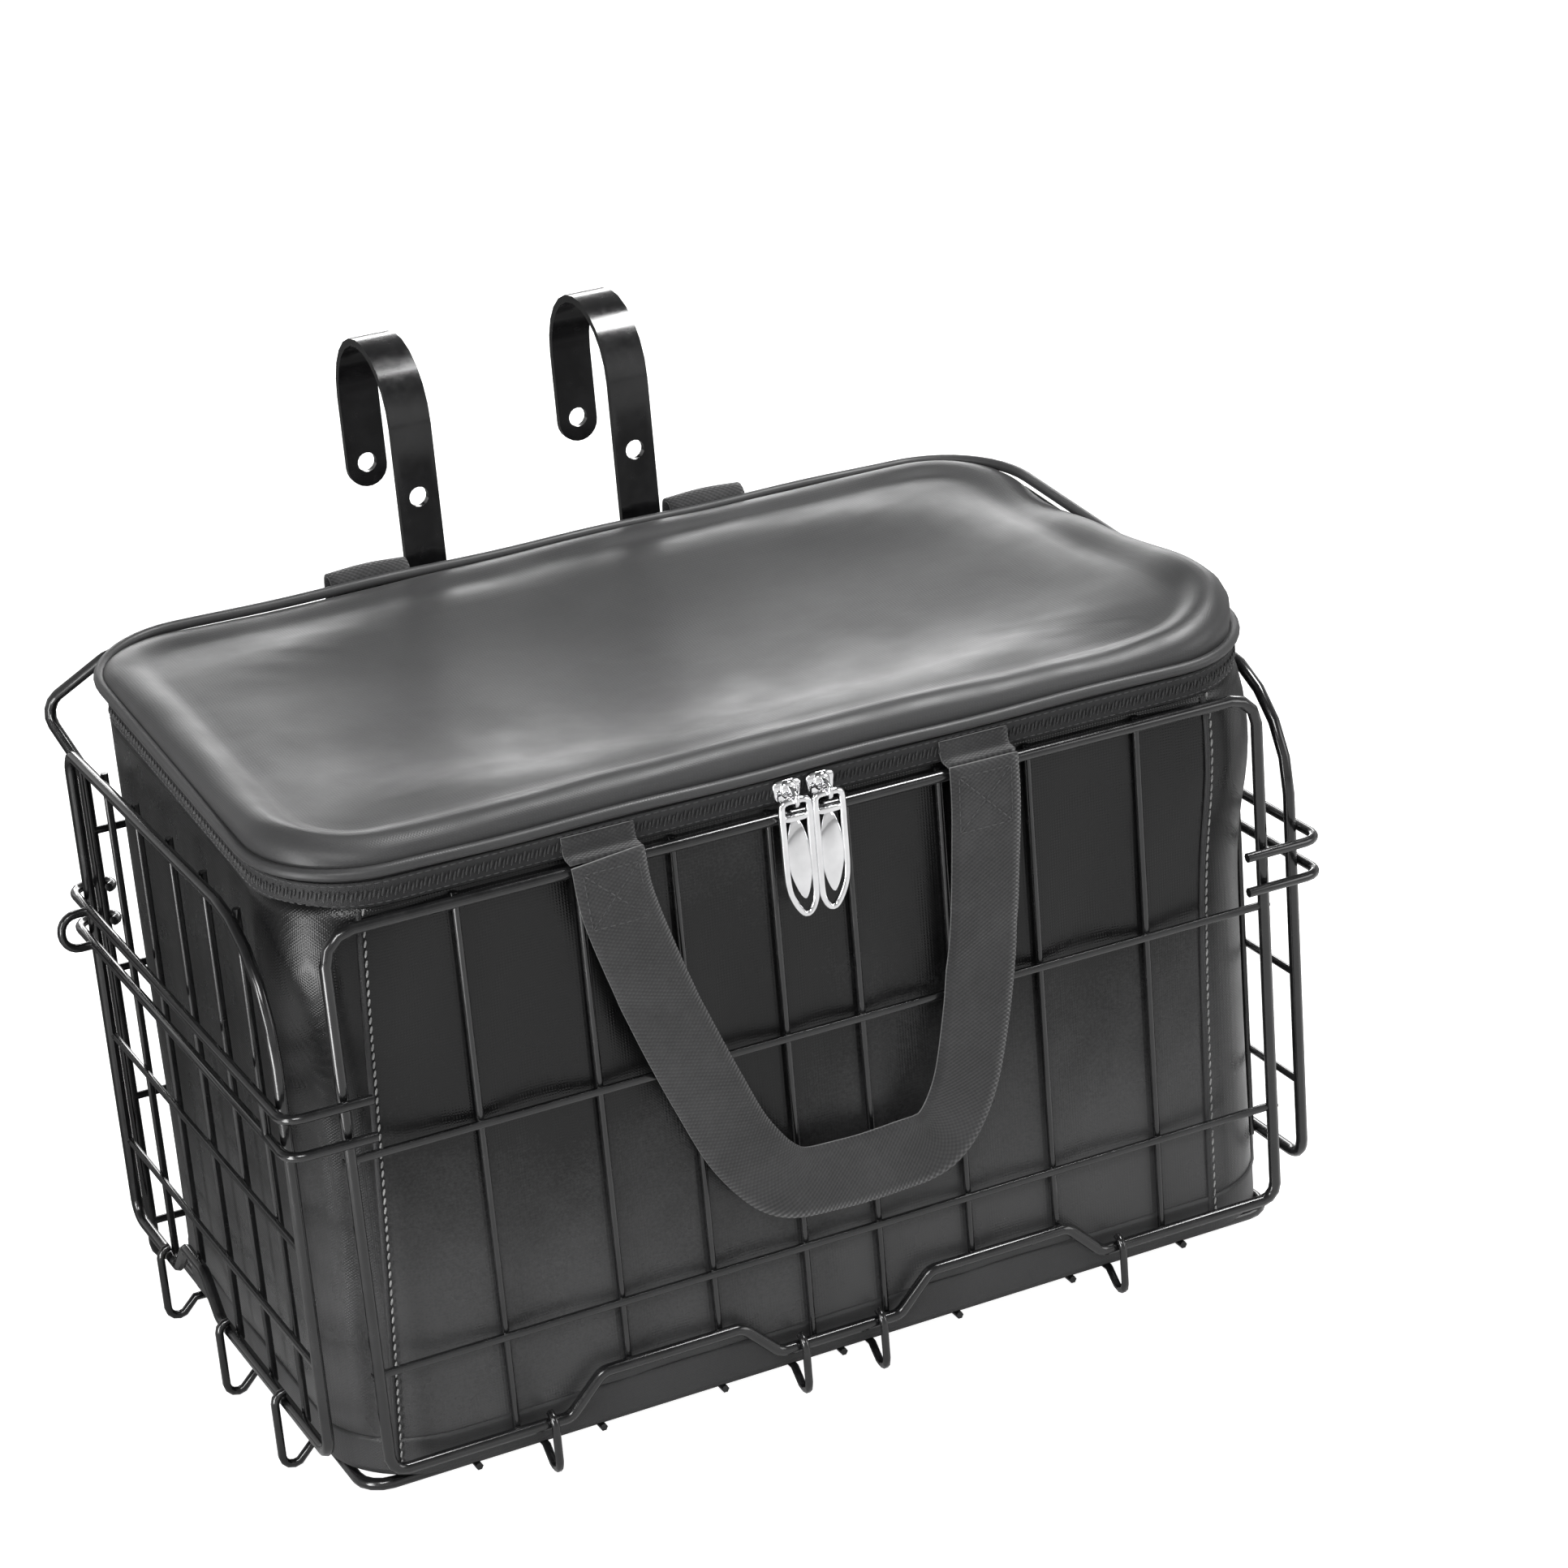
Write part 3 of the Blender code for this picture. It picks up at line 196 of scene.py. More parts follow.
def clothFinish(
    name, dark, light, roughness, weavePitch=0.0011, weaveDepth=0.25, foldDepth=0.3, paintedShade=0.0, shine=0.5,
):
    # coated cloth: cloudy colour with a fine fleck, long shallow folds and a plain weave, and painted shade
    # that darkens it with height if asked
    finish, tree, shader, place = newFinish(
        name, Sheen_Weight=0.06, Sheen_Roughness=0.45, Specular_IOR_Level=shine,
    )
    clouds = grain(tree, place, 9.0, 4.0)
    fleck = grain(tree, place, 900.0, 2.0)
    mixed = sumOf(tree, sumOf(tree, clouds, 0.75, "MULTIPLY"), sumOf(tree, fleck, 0.25, "MULTIPLY"))
    # painted light and shade: paler near the floor, where its bounce light falls, and darker up towards the
    # mouth
    if paintedShade:
        height = splitOf(tree, place)[2]
        mixed = sumOf(tree, mixed, spread(tree, height, paintedShade, -paintedShade, *paintedShadeHeights))
    colourBy(tree, shader, mixed, dark, light)
    roughBy(tree, shader, grain(tree, place, 45.0), *roughness)
    folds = grain(tree, place, 16.0, 3.0, (1.0, 1.0, 0.45))
    weave = threadHeight(tree, place, weavePitch)
    addBump(tree, shader, [(folds, foldDepth, 0.003), (weave, weaveDepth, 0.00008)])
    return finish


def paintFinish():
    finish, tree, shader, place = newFinish(
        "blackPaint", Coat_Weight=0.6, Coat_Roughness=0.12, Specular_IOR_Level=0.5,
    )
    colourBy(tree, shader, grain(tree, place, 60.0, 3.0), (0.003, 0.003, 0.0033), (0.009, 0.009, 0.0095))
    roughBy(tree, shader, grain(tree, place, 240.0), 0.16, 0.28)
    addBump(tree, shader, [(grain(tree, place, 1500.0, 2.0), 0.25, 0.00006)])
    return finish


def metalFinish(name, dark, light, roughness, dent=0.12):
    finish, tree, shader, place = newFinish(name, Metallic=1.0)
    colourBy(tree, shader, grain(tree, place, 120.0), dark, light)
    lines = grain(tree, place, 2200.0, 2.0, (1.0, 1.0, 0.08))
    roughBy(tree, shader, lines, *roughness)
    addBump(tree, shader, [(grain(tree, place, 160.0), dent, 0.0002), (lines, 0.05, 0.00003)])
    return finish


def rubberFinish():
    finish, tree, shader, place = newFinish("blackRubber", Specular_IOR_Level=0.35)
    colourBy(tree, shader, grain(tree, place, 90.0), (0.014, 0.014, 0.015), (0.028, 0.028, 0.029))
    roughBy(tree, shader, grain(tree, place, 500.0), 0.55, 0.75)
    addBump(tree, shader, [(grain(tree, place, 1800.0), 0.3, 0.0001)])
    return finish


def webbingFinish(name, dark, light, ribPitch=0.0016):
    # ribs run along the strip's own map: u along it, v across it, both in metres
    finish, tree, shader, place = newFinish(
        name, Sheen_Weight=0.35, Sheen_Roughness=0.5, Specular_IOR_Level=0.3,
    )
    strip = addNode(tree, "ShaderNodeUVMap", uv_map="strip")
    u, v = splitOf(tree, strip.outputs["UV"])[:2]
    turn = 2 * math.pi / ribPitch
    along = sineOf(tree, sumOf(tree, u, turn, "MULTIPLY"))
    across = sineOf(tree, sumOf(tree, v, turn * 0.7, "MULTIPLY"))
    ribs = sumOf(tree, along, across, "MULTIPLY")
    clouds = grain(tree, place, 38.0, 4.0)
    mixed = sumOf(tree, sumOf(tree, clouds, 0.8, "MULTIPLY"), sumOf(tree, ribs, 0.14, "MULTIPLY"))
    colourBy(tree, shader, mixed, dark, light, 0.25, 0.6)
    roughBy(tree, shader, grain(tree, place, 300.0), 0.7, 0.9)
    addBump(tree, shader, [(grain(tree, place, 30.0), 0.25, 0.002), (ribs, 0.5, 0.00025)])
    return finish


def threadFinish(name, dark, light):
    finish, tree, shader, place = newFinish(name, Sheen_Weight=0.3, Specular_IOR_Level=0.4)
    colourBy(tree, shader, grain(tree, place, 700.0), dark, light)
    roughBy(tree, shader, grain(tree, place, 1500.0), 0.45, 0.7)
    addBump(tree, shader, [(grain(tree, place, 2500.0, 2.0, (1.0, 1.0, 3.0)), 0.4, 0.0001)])
    return finish


def foilFinish():
    finish, tree, shader, place = newFinish("foilLining", Metallic=0.85)
    colourBy(tree, shader, grain(tree, place, 30.0), (0.42, 0.43, 0.44), (0.62, 0.63, 0.64))
    roughBy(tree, shader, grain(tree, place, 120.0), 0.28, 0.45)
    crumple, weave = grain(tree, place, 55.0, 5.0), threadHeight(tree, place, 0.004)
    addBump(tree, shader, [(crumple, 0.8, 0.002), (weave, 0.3, 0.0003)])
    return finish


blackPaint = paintFinish()
blackRubber = rubberFinish()
# the bag's walls carry painted shade: darker up towards the lid, paler near the floor where bounce light falls
bagCloth = clothFinish(
    "coatedBagCloth", (0.002, 0.002, 0.0022), (0.046, 0.046, 0.0467), (0.24, 0.36),
    paintedShade=0.24, shine=0.42,
)
lidCloth = clothFinish(
    "lidCloth", (0.030, 0.030, 0.0307), (0.044, 0.044, 0.045), (0.40, 0.50), weaveDepth=0.10, foldDepth=0.12,
)
bandCloth = clothFinish("baseBandCloth", (0.022, 0.022, 0.0226), (0.036, 0.036, 0.037), (0.42, 0.55))
bindingTape = clothFinish(
    "bindingTape", (0.014, 0.014, 0.0145), (0.026, 0.026, 0.027), (0.5, 0.65),
    weavePitch=0.0009, weaveDepth=0.5,
)
webbing = webbingFinish("wovenWebbing", (0.021, 0.021, 0.0215), (0.042, 0.042, 0.043))
zipTapeCloth = clothFinish(
    "zipTapeCloth", (0.010, 0.010, 0.0105), (0.018, 0.018, 0.019), (0.6, 0.75),
    weavePitch=0.0008, weaveDepth=0.5,
)
zipCoil = threadFinish("zipCoil", (0.010, 0.010, 0.0104), (0.026, 0.026, 0.027))
paleThread = threadFinish("paleThread", (0.16, 0.16, 0.16), (0.34, 0.34, 0.335))
darkThread = threadFinish("darkThread", (0.035, 0.035, 0.036), (0.075, 0.075, 0.077))
foil = foilFinish()
chrome = metalFinish("polishedChrome", (0.84, 0.84, 0.85), (0.94, 0.94, 0.95), (0.05, 0.12), dent=0.03)
zinc = metalFinish("zincBolt", (0.42, 0.43, 0.44), (0.60, 0.61, 0.62), (0.25, 0.40))
print("finishes made")


def dress(names, finish):
    for name in names:
        mesh = nodes[name].data
        mesh.materials.clear()
        mesh.materials.append(finish)


def roundingGroup(limit):
    # joins the solid's triangles and shades them smooth, apart from edges sharper than limit degrees
    group = bpy.data.node_groups.new("rounding", "GeometryNodeTree")
    group.interface.new_socket("Geometry", in_out="INPUT", socket_type="NodeSocketGeometry")
    group.interface.new_socket("Geometry", in_out="OUTPUT", socket_type="NodeSocketGeometry")
    start = addNode(group, "NodeGroupInput")
    join = addNode(group, "GeometryNodeMergeByDistance", {"Distance": 0.00002})
    smooth = addNode(group, "GeometryNodeSetShadeSmooth", {"Shade Smooth": True}, domain="FACE")
    crease = addNode(group, "GeometryNodeSetShadeSmooth", {"Shade Smooth": False}, domain="EDGE")
    angle = addNode(group, "GeometryNodeInputMeshEdgeAngle")
    test = addNode(group, "FunctionNodeCompare", data_type="FLOAT", operation="GREATER_THAN")
    test.inputs["B"].default_value = math.radians(limit)
    end = addNode(group, "NodeGroupOutput")
    group.links.new(start.outputs[0], join.inputs["Geometry"])
    group.links.new(join.outputs["Geometry"], smooth.inputs["Geometry"])
    group.links.new(smooth.outputs["Geometry"], crease.inputs["Geometry"])
    group.links.new(angle.outputs["Unsigned Angle"], test.inputs["A"])
    group.links.new(test.outputs["Result"], crease.inputs["Selection"])
    group.links.new(crease.outputs["Geometry"], end.inputs[0])
    return group


def roundOff(names, limit):
    group = roundingGroup(limit)
    for name in names:
        nodes[name].modifiers.new("rounding", "NODES").node_group = group


def bothSides(*words):
    return [side + word for side in sides for word in words]


wireCrease, hookCrease = 66, 40  # a sharper edge than this many degrees stays a crease
gridWires = ["bottom_panel", "back_panel", "front_panel", "rear_stay"] + bothSides("_side_panel", "_latch")
hooks, sleeves, plates = bothSides("_hook"), bothSides("_hook_sleeve"), bothSides("_clamp_plate")
dress(gridWires + hooks + plates + ["rear_bracket"], blackPaint)
dress(sleeves, blackRubber)
dress(bothSides("_upper_bolt", "_lower_bolt", "_upper_nut", "_lower_nut"), zinc)
roundOff(gridWires, wireCrease)
roundOff(hooks + sleeves, hookCrease)
print("wires dressed")


def addPiece(name, data, finish, body, replaced):
    data.materials.append(finish)
    piece = bpy.data.objects.new(name, data)
    scene.collection.objects.link(piece)
    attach(piece, body)
    if replaced:
        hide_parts(*replaced)
    return piece


def makePiece(name, shape, finish, body, replaced=()):
    mesh = bpy.data.meshes.new(name)
    shape.to_mesh(mesh)
    shape.free()
    for face in mesh.polygons:
        face.use_smooth = True
    return addPiece(name, mesh, finish, body, replaced)


def thicken(piece, thickness, offset=-1):
    modifier = piece.modifiers.new("solidify", "SOLIDIFY")
    modifier.thickness, modifier.offset = thickness, offset


# the bag: its outline, its mouth's heights, the dents where wires press on its front, and how it swells
bag = {
    "halfWidth": 0.1915, "front": -0.1411, "back": 0.0804, "corner": 0.038, "floor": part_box("liner_bag")[0].z,
    "frontTop": pinHeight + 0.2125, "backTop": pinHeight + 0.2335, "wall": 0.0022, "rows": 34, "cuts": 44,
    "dents": (-0.133, -0.088, -0.052, -0.015, 0.015, 0.052, 0.088, 0.133), "dentWidth": 0.012,
    "billow": 0.0022, "shoulder": 0.0062, "shoulderReach": 0.030, "wave": 0.0011, "tuck": 0.003, "keep": 0.30,
}
bag["slope"] = (bag["backTop"] - bag["frontTop"]) / (bag["back"] - bag["front"])
bag["middle"] = (bag["back"] + bag["front"]) / 2
bag["depth"] = bag["back"] - bag["front"]


def topHeight(y):
    return bag["frontTop"] + bag["slope"] * (y - bag["front"])


def roundedFootprint(grow, segments, cuts):
    # the bag's outline as one level face, standing out by grow, with its long edges cut up
    shape = bmesh.new()
    bmesh.ops.create_grid(shape, x_segments=1, y_segments=1, size=0.5)
    bmesh.ops.scale(shape, vec=(2 * (bag["halfWidth"] + grow), bag["depth"] + 2 * grow, 1), verts=shape.verts)
    bmesh.ops.translate(shape, vec=(0, bag["middle"], 0), verts=shape.verts)
    bmesh.ops.bevel(
        shape, geom=shape.verts[:], offset=bag["corner"] + grow, segments=segments, affect="VERTICES",
        profile=0.5, material=-1,
    )
    longEdges = [edge for edge in shape.edges if edge.calc_length() > 0.05]
    bmesh.ops.subdivide_edges(shape, edges=longEdges, cuts=cuts)
    shape.faces.ensure_lookup_table()
    return shape


def extrudeRing(shape, ring):
    # one more row of wall from a ring of edges: the new ring and its vertices
    made = bmesh.ops.extrude_edge_only(shape, edges=ring)["geom"]
    edges = [item for item in made if isinstance(item, bmesh.types.BMEdge)]
    return edges, [item for item in made if isinstance(item, bmesh.types.BMVert)]


def bell(distance, width):
    return math.exp(-(distance / width) ** 2)


def bagOutward(co):
    # the direction away from the bag at a point of its wall
    corner, slack = bag["corner"], 0.0005
    halfWidth, front, back = bag["halfWidth"] + slack, bag["front"] - slack, bag["back"] + slack
    coreX = max(-halfWidth + corner, min(co.x, halfWidth - corner))
    coreY = max(front + corner, min(co.y, back - corner))
    away = Vector((co.x - coreX, co.y - coreY, 0))
    return away.normalized() if away.length > 1e-6 else Vector((0, 0, 0))


def wallSwell(co, share):
    # how far the bag's wall stands out at a point: share runs from the floor to the mouth
    frontness = max(0.0, min(1.0, (bag["front"] + 0.03 - co.y) / 0.03))
    fall = 0.0
    for dent in bag["dents"]:
        fall += bell(co.x - dent, bag["dentWidth"])
    rest = bag["billow"] * (1 - min(1.0, fall)) * math.sin(math.pi * min(1.0, share * 1.05)) * frontness
    wave = bag["wave"] * noise.noise(Vector((co.x * 22, co.y * 22, co.z * 9))) * (1 - frontness)
    return -rest + wave


def wallMove(co, share):
    # the wall's whole way out from its plain place, with the swollen front corners
    cornerX, cornerY = bag["halfWidth"] - 0.012, bag["front"] + 0.012
    toCorner = math.hypot(abs(co.x) - cornerX, co.y - cornerY)
    move = wallSwell(co, share)
    move += bag["shoulder"] * bell(toCorner, bag["shoulderReach"]) * bell(share - 0.86, 0.14)
    move -= 0.0016 * bell(share - 0.995, 0.02) * bell(toCorner, 0.05)
    return move


def makeBagShell():
    shape = roundedFootprint(0, 14, bag["cuts"])
    floorFace = shape.faces[0]
    bmesh.ops.reverse_faces(shape, faces=[floorFace])
    bmesh.ops.translate(shape, vec=(0, 0, bag["floor"]), verts=shape.verts)
    rim = list(floorFace.edges)
    for row in range(bag["rows"]):
        rim, spots = extrudeRing(shape, rim)
        share = (row + 1) / bag["rows"]
        for spot in spots:
            spot.co.z = bag["floor"] + share * (topHeight(spot.co.y) - bag["floor"])
    for spot in shape.verts:
        share = (spot.co.z - bag["floor"]) / (topHeight(spot.co.y) - bag["floor"])
        tuck = max(0.0, 1 - share / 0.03)
        spot.co += bagOutward(spot.co) * (wallMove(spot.co, share) - bag["tuck"] * tuck ** 2)
    bmesh.ops.recalc_face_normals(shape, faces=shape.faces)
    piece = makePiece("bag_shell", shape, bagCloth, "liner", ["liner_bag"])
    thicken(piece, bag["wall"])


makeBagShell()

lining = {
    "gap": bag["wall"] + 0.0005, "below": 0.0012, "puff": 0.0012, "rows": 16, "cuts": 30, "thickness": 0.0010,
}


def makeLining():
    shape = roundedFootprint(-lining["gap"], 10, lining["cuts"])
    base = bag["floor"] + lining["gap"]
    bmesh.ops.translate(shape, vec=(0, 0, base), verts=shape.verts)
    rim = list(shape.faces[0].edges)
    for row in range(lining["rows"]):
        rim, spots = extrudeRing(shape, rim)
        share = (row + 1) / lining["rows"]
        for spot in spots:
            spot.co.z = base + share * (topHeight(spot.co.y) - lining["below"] - base)
    for spot in shape.verts:
        puff = lining["puff"] * (0.5 + 0.5 * noise.noise(spot.co * 45))
        spot.co -= bagOutward(spot.co) * (puff + bag["billow"] * 0.9)
    bmesh.ops.recalc_face_normals(shape, faces=shape.faces)
    piece = makePiece("foil_lining_shell", shape, foil, "liner", ["inner_lining"])
    thicken(piece, lining["thickness"])


makeLining()
print("bag and lining made")


lid = {
    "crestFront": 0.30, "dish": 0.0085, "rings": 12, "crease": 0.0007, "inner": 0.0130, "rimWidth": 0.031,
    "wobble": 0.0006, "thickness": 0.0018, "middleRing": 0.6,
}
# where the rim stands higher or lower than its profile: the place, its reach along x and y, and by what share
lidSwells = [
    ((0.186, -0.105), (0.035, 0.050), 0.75), ((-0.186, -0.118), (0.040, 0.040), 0.30),
    ((0.190, 0.025), (0.030, 0.034), -0.50), ((-0.10, 0.085), (0.130, 0.040), -0.40),
    ((0.12, 0.085), (0.100, 0.035), -0.25),
]
# how far in from the edge, and how far above the bag's mouth, from the zip to the valley
lidProfile = [
    (0.0000, 0.0007), (0.0000, 0.0030), (0.0000, 0.0056), (-0.0002, 0.0082), (-0.0008, 0.0104),
    (-0.0006, 0.0124), (0.0012, 0.0144), (0.0040, 0.0158), (0.0072, 0.0163), (0.0102, 0.0159),
    (0.0128, 0.0150), (0.0150, 0.0141), (0.0170, 0.0134), (0.0195, 0.0130), (0.0240, 0.0131),
    (0.0310, 0.0130),
]


def lidRise(spot, rise):
    # the rolled rim stands higher along the front and at its corners, and lower behind
    middle = max(0.0, 1 - (spot.x / 0.17) ** 2)
    near = max(0.0, 1 - (spot.y - bag["front"]) / 0.06)
    extra = lid["crestFront"] * middle * near
    for (x, y), (wide, deep), share in lidSwells:
        extra += share * math.exp(-((spot.x - x) / wide) ** 2 - ((spot.y - y) / deep) ** 2)
    return rise * (1 + extra * min(1.0, rise / 0.012))


def lidSag(spot):
    # how deep the panel hangs inside its rim
    across = min(1.0, abs(spot.x) / (bag["halfWidth"] - lid["rimWidth"]))
    along = min(1.0, abs(spot.y - bag["middle"]) / (bag["depth"] / 2 - lid["rimWidth"]))
    return lid["dish"] * max(0.0, 1 - (across ** 3 + along ** 3) ** 0.85)


def makeLidRim(shape, ring):
    spots, lastInset = shape.verts[:], 0.0
    for step, (inset, rise) in enumerate(lidProfile):
        if step:
            ring, spots = extrudeRing(shape, ring)
        for spot in spots:
            spot.co -= bagOutward(spot.co) * (inset - lastInset)
            ripple = noise.noise(Vector((spot.co.x * 30, spot.co.y * 30, step * 0.25)))
            wobble = lid["wobble"] * ripple * min(1.0, step / 6)
            spot.co.z = topHeight(spot.co.y) + lidRise(spot.co, rise) + wobble
        lastInset = inset
    return ring


def makeLidPanel(shape, ring):
    # rings that shrink towards the middle, and a fan of faces in the last one, middleRing of a step wide
    middle = Vector((0, bag["middle"], 0))
    steps = lid["rings"] + lid["middleRing"]
    for step in range(1, lid["rings"] + 1):
        ring, spots = extrudeRing(shape, ring)
        before, now = 1 - (step - 1) / steps, 1 - step / steps
        for spot in spots:
            flat = Vector((spot.co.x, spot.co.y, 0))
            flat = middle + (flat - middle) * (now / before)
            fold = lid["crease"] * noise.noise(Vector((flat.x * 11, flat.y * 17, 3.0)))
            spot.co = flat
            spot.co.z = topHeight(flat.y) + lidRise(flat, lid["inner"] - lidSag(flat)) + fold
    lastFace = bmesh.ops.contextual_create(shape, geom=ring)["faces"]
    bmesh.ops.poke(shape, faces=lastFace)


def makeLid():
    shape = roundedFootprint(0, 14, bag["cuts"])
    ring = list(shape.faces[0].edges)
    bmesh.ops.delete(shape, geom=shape.faces[:], context="FACES_ONLY")
    makeLidPanel(shape, makeLidRim(shape, ring))
    high = [spot for spot in shape.verts if spot.co.z > topHeight(spot.co.y) + 0.011]
    bmesh.ops.smooth_vert(shape, verts=high, factor=0.3, use_axis_x=False, use_axis_y=False, use_axis_z=True)
    bmesh.ops.recalc_face_normals(shape, faces=shape.faces)
    piece = makePiece("lid_top", shape, lidCloth, "lid", ["liner_lid"])
    thicken(piece, lid["thickness"])


makeLid()
print("lid made")


def footprintPoints(grow, height):
    # points round the bag at a distance outside its wall
    shape = roundedFootprint(grow, 12, 30)
    spots = [loop.vert.co.copy() for loop in shape.faces[0].loops]
    shape.free()
    for spot in spots:
        spot.z = topHeight(spot.y) + height(spot)
    return spots


def makeTube(name, runs, radius, finish, body, replaced=(), cyclic=False, facets=4):
    curve = bpy.data.curves.new(name, "CURVE")
    curve.dimensions = "3D"
    curve.bevel_depth = radius
    curve.bevel_resolution = facets
    curve.use_fill_caps = True
    for run in runs:
        spline = curve.splines.new("POLY")
        spline.points.add(len(run) - 1)
        for point, spot in zip(spline.points, run):
            point.co = (*spot, 1)
        spline.use_cyclic_u = cyclic
        spline.use_smooth = True
    return addPiece(name, curve, finish, body, replaced)


piping = {"grow": 0.0020, "height": 0.0100, "wave": 0.0003, "radius": 0.0021}
pipingRun = footprintPoints(
    piping["grow"], lambda spot: piping["height"] + piping["wave"] * math.sin(spot.x * 70),
)
makeTube(
    "lid_piping_cord", [pipingRun], piping["radius"], lidCloth, "lid", ["lid_piping"],
    cyclic=True, facets=5,
)


def smoothPath(points, count):
    # evenly spaced places on a smooth curve through the points
    points = [Vector(point) for point in points]
    ends = [points[0] * 2 - points[1]] + points + [points[-1] * 2 - points[-2]]
    dense, parts = [], 24
    for n in range(1, len(ends) - 2):
        a, b, c, d = ends[n - 1:n + 3]
        square, cube = 2 * a - 5 * b + 4 * c - d, 3 * b - a - 3 * c + d
        for part in range(parts):
            t = part / parts
            dense.append(0.5 * (2 * b + (c - a) * t + square * t * t + cube * t ** 3))
    dense.append(points[-1])
    lengths = [0.0]
    for one, two in zip(dense, dense[1:]):
        lengths.append(lengths[-1] + (two - one).length)
    spots, place = [], 0
    for n in range(count):
        want = lengths[-1] * n / (count - 1)
        while place < len(lengths) - 2 and lengths[place + 1] < want:
            place += 1
        span = max(1e-9, lengths[place + 1] - lengths[place])
        spots.append(dense[place].lerp(dense[place + 1], min(1.0, (want - lengths[place]) / span)))
    return spots, lengths[-1]


def makeStrip(
    name, points, width, thickness, finish, body, replaced=(), across=upright, count=80, shapeMove=None,
):
    # a woven strip laid along a path; across is its sideways direction, or makes it from the path's direction
    spots, length = smoothPath(points, count + 1)
    shape = bmesh.new()
    bmesh.ops.create_grid(shape, x_segments=count, y_segments=8, size=0.5)
    cloth = shape.loops.layers.uv.new("strip")
    for face in shape.faces:
        for loop in face.loops:
            loop[cloth].uv = ((loop.vert.co.x + 0.5) * length, loop.vert.co.y * width)
    for spot in shape.verts:
        index = round((spot.co.x + 0.5) * count)
        share = spot.co.y
        run = (spots[min(index + 1, count)] - spots[max(index - 1, 0)]).normalized()
        sideways = across(run) if callable(across) else across
        away = run.cross(sideways).normalized()
        offset = shapeMove(index / count, share) if shapeMove else 0.0
        spot.co = spots[index] + sideways * share * width + away * offset
    bmesh.ops.recalc_face_normals(shape, faces=shape.faces)
    piece = makePiece(name, shape, finish, body, replaced)
    thicken(piece, thickness, 0)


handle = {
    "y": -0.1503, "width": 0.027, "thickness": 0.0017, "roots": (-0.079, 0.067),
    "leftLeg": [
        (-0.079, 0.2098), (-0.0772, 0.1928), (-0.0715, 0.1718), (-0.0620, 0.1428), (-0.0500, 0.1118),
        (-0.0385, 0.0868),
    ],
    "base": [(-0.0230, 0.0693), (-0.0020, 0.0660), (0.0200, 0.0660), (0.0380, 0.0688)],
    "rightLeg": [
        (0.0490, 0.0838), (0.0560, 0.1078), (0.0615, 0.1388), (0.0650, 0.1718), (0.0668, 0.1928),
        (0.067, 0.2098),
    ],
}
stitching = {
    "places": ((-0.0785, 0.0016), (0.0668, -0.0008)), "half": 0.0105, "high": 0.2058, "low": 0.1848,
    "pitch": 0.0030, "length": 0.0021, "radius": 0.00022,
}


def handleWave(share, across):
    # shallow creases and a soft twist across the webbing
    wave = 0.0005 * math.sin(share * 31) * (0.4 + across)
    pinch = 0.0007 * math.exp(-((share - 0.17 - across * 0.04) / 0.012) ** 2)
    fold = 0.0006 * math.exp(-((share - 0.80 + across * 0.05) / 0.016) ** 2)
    return wave * min(1.0, share * 12, (1 - share) * 12) - pinch - fold


def makeHandle():
    flat = handle["leftLeg"] + handle["base"] + handle["rightLeg"]
    points = [(x, handle["y"], pinHeight + z) for x, z in flat]
    makeStrip(
        "webbing_handle", points, handle["width"], handle["thickness"], webbing, "handle",
        ["carry_handle"], across=lambda run: Vector((-run.z, 0, run.x)).normalized(), count=150,
        shapeMove=handleWave,
    )


makeHandle()


def makeStitches(name, places, length, radius, finish, body, slot):
    # places is a list of (centre, direction); one small rounded stitch lies at each
    shape = bmesh.new()
    for centre, direction in places:
        made = bmesh.ops.create_uvsphere(shape, u_segments=6, v_segments=4, radius=radius)["verts"]
        for spot in made:
            spot.co.z *= length / (2 * radius)
        turn = direction.to_track_quat("Z", "Y").to_matrix().to_4x4()
        bmesh.ops.transform(shape, matrix=Matrix.Translation(centre) @ turn, verts=made)
    makePiece(name, shape, finish, body)


def lineOfStitches(start, end, pitch):
    start, end = Vector(start), Vector(end)
    count = max(1, round((end - start).length / pitch))
    direction = (end - start).normalized()
    return [(start.lerp(end, (n + 0.5) / count), direction) for n in range(count)]


def handleStitches():
    # a sewn box with its two diagonals on each end of the handle; shift leans it with the leg
    y = handle["y"] - handle["thickness"] / 2 - 0.0001
    high, low = pinHeight + stitching["high"], pinHeight + stitching["low"]
    places = []
    for x, shift in stitching["places"]:
        left, right = x - stitching["half"], x + stitching["half"]
        corners = [(left, y, high), (right, y, high), (right + shift, y, low), (left + shift, y, low)]
        lines = list(zip(corners, corners[1:] + corners[:1]))
        for one, two in lines + [(corners[0], corners[2]), (corners[1], corners[3])]:
            places += lineOfStitches(one, two, stitching["pitch"])
    makeStitches(
        "handle_stitching", places, stitching["length"], stitching["radius"], darkThread, "handle", "webbing",
    )


handleStitches()

# the sewn ends that carry the handle: from the bag's wall at root out to end, over the crest
tab = {
    "root": -0.1431, "end": -0.1491, "top": pinHeight + 0.2175, "crest": pinHeight + 0.2101,
    "width": 0.027, "thickness": 0.0016,
}
for side, x in zip(sides, handle["roots"]):
    points = [
        (x, tab["root"], tab["top"]), (x, tab["root"] - 0.0002, tab["crest"] + 0.0030),
        (x, tab["root"] - 0.0014, tab["crest"] + 0.0008), (x, tab["end"] + 0.0022, tab["crest"] + 0.0003),
        (x, tab["end"], tab["crest"]),
    ]
    makeStrip(
        "handle_root_" + side, points, tab["width"], tab["thickness"], webbing, "liner",
        [side + "_handle_tab"], across=Vector((1, 0, 0)), count=16,
    )
print("carrying handle made")

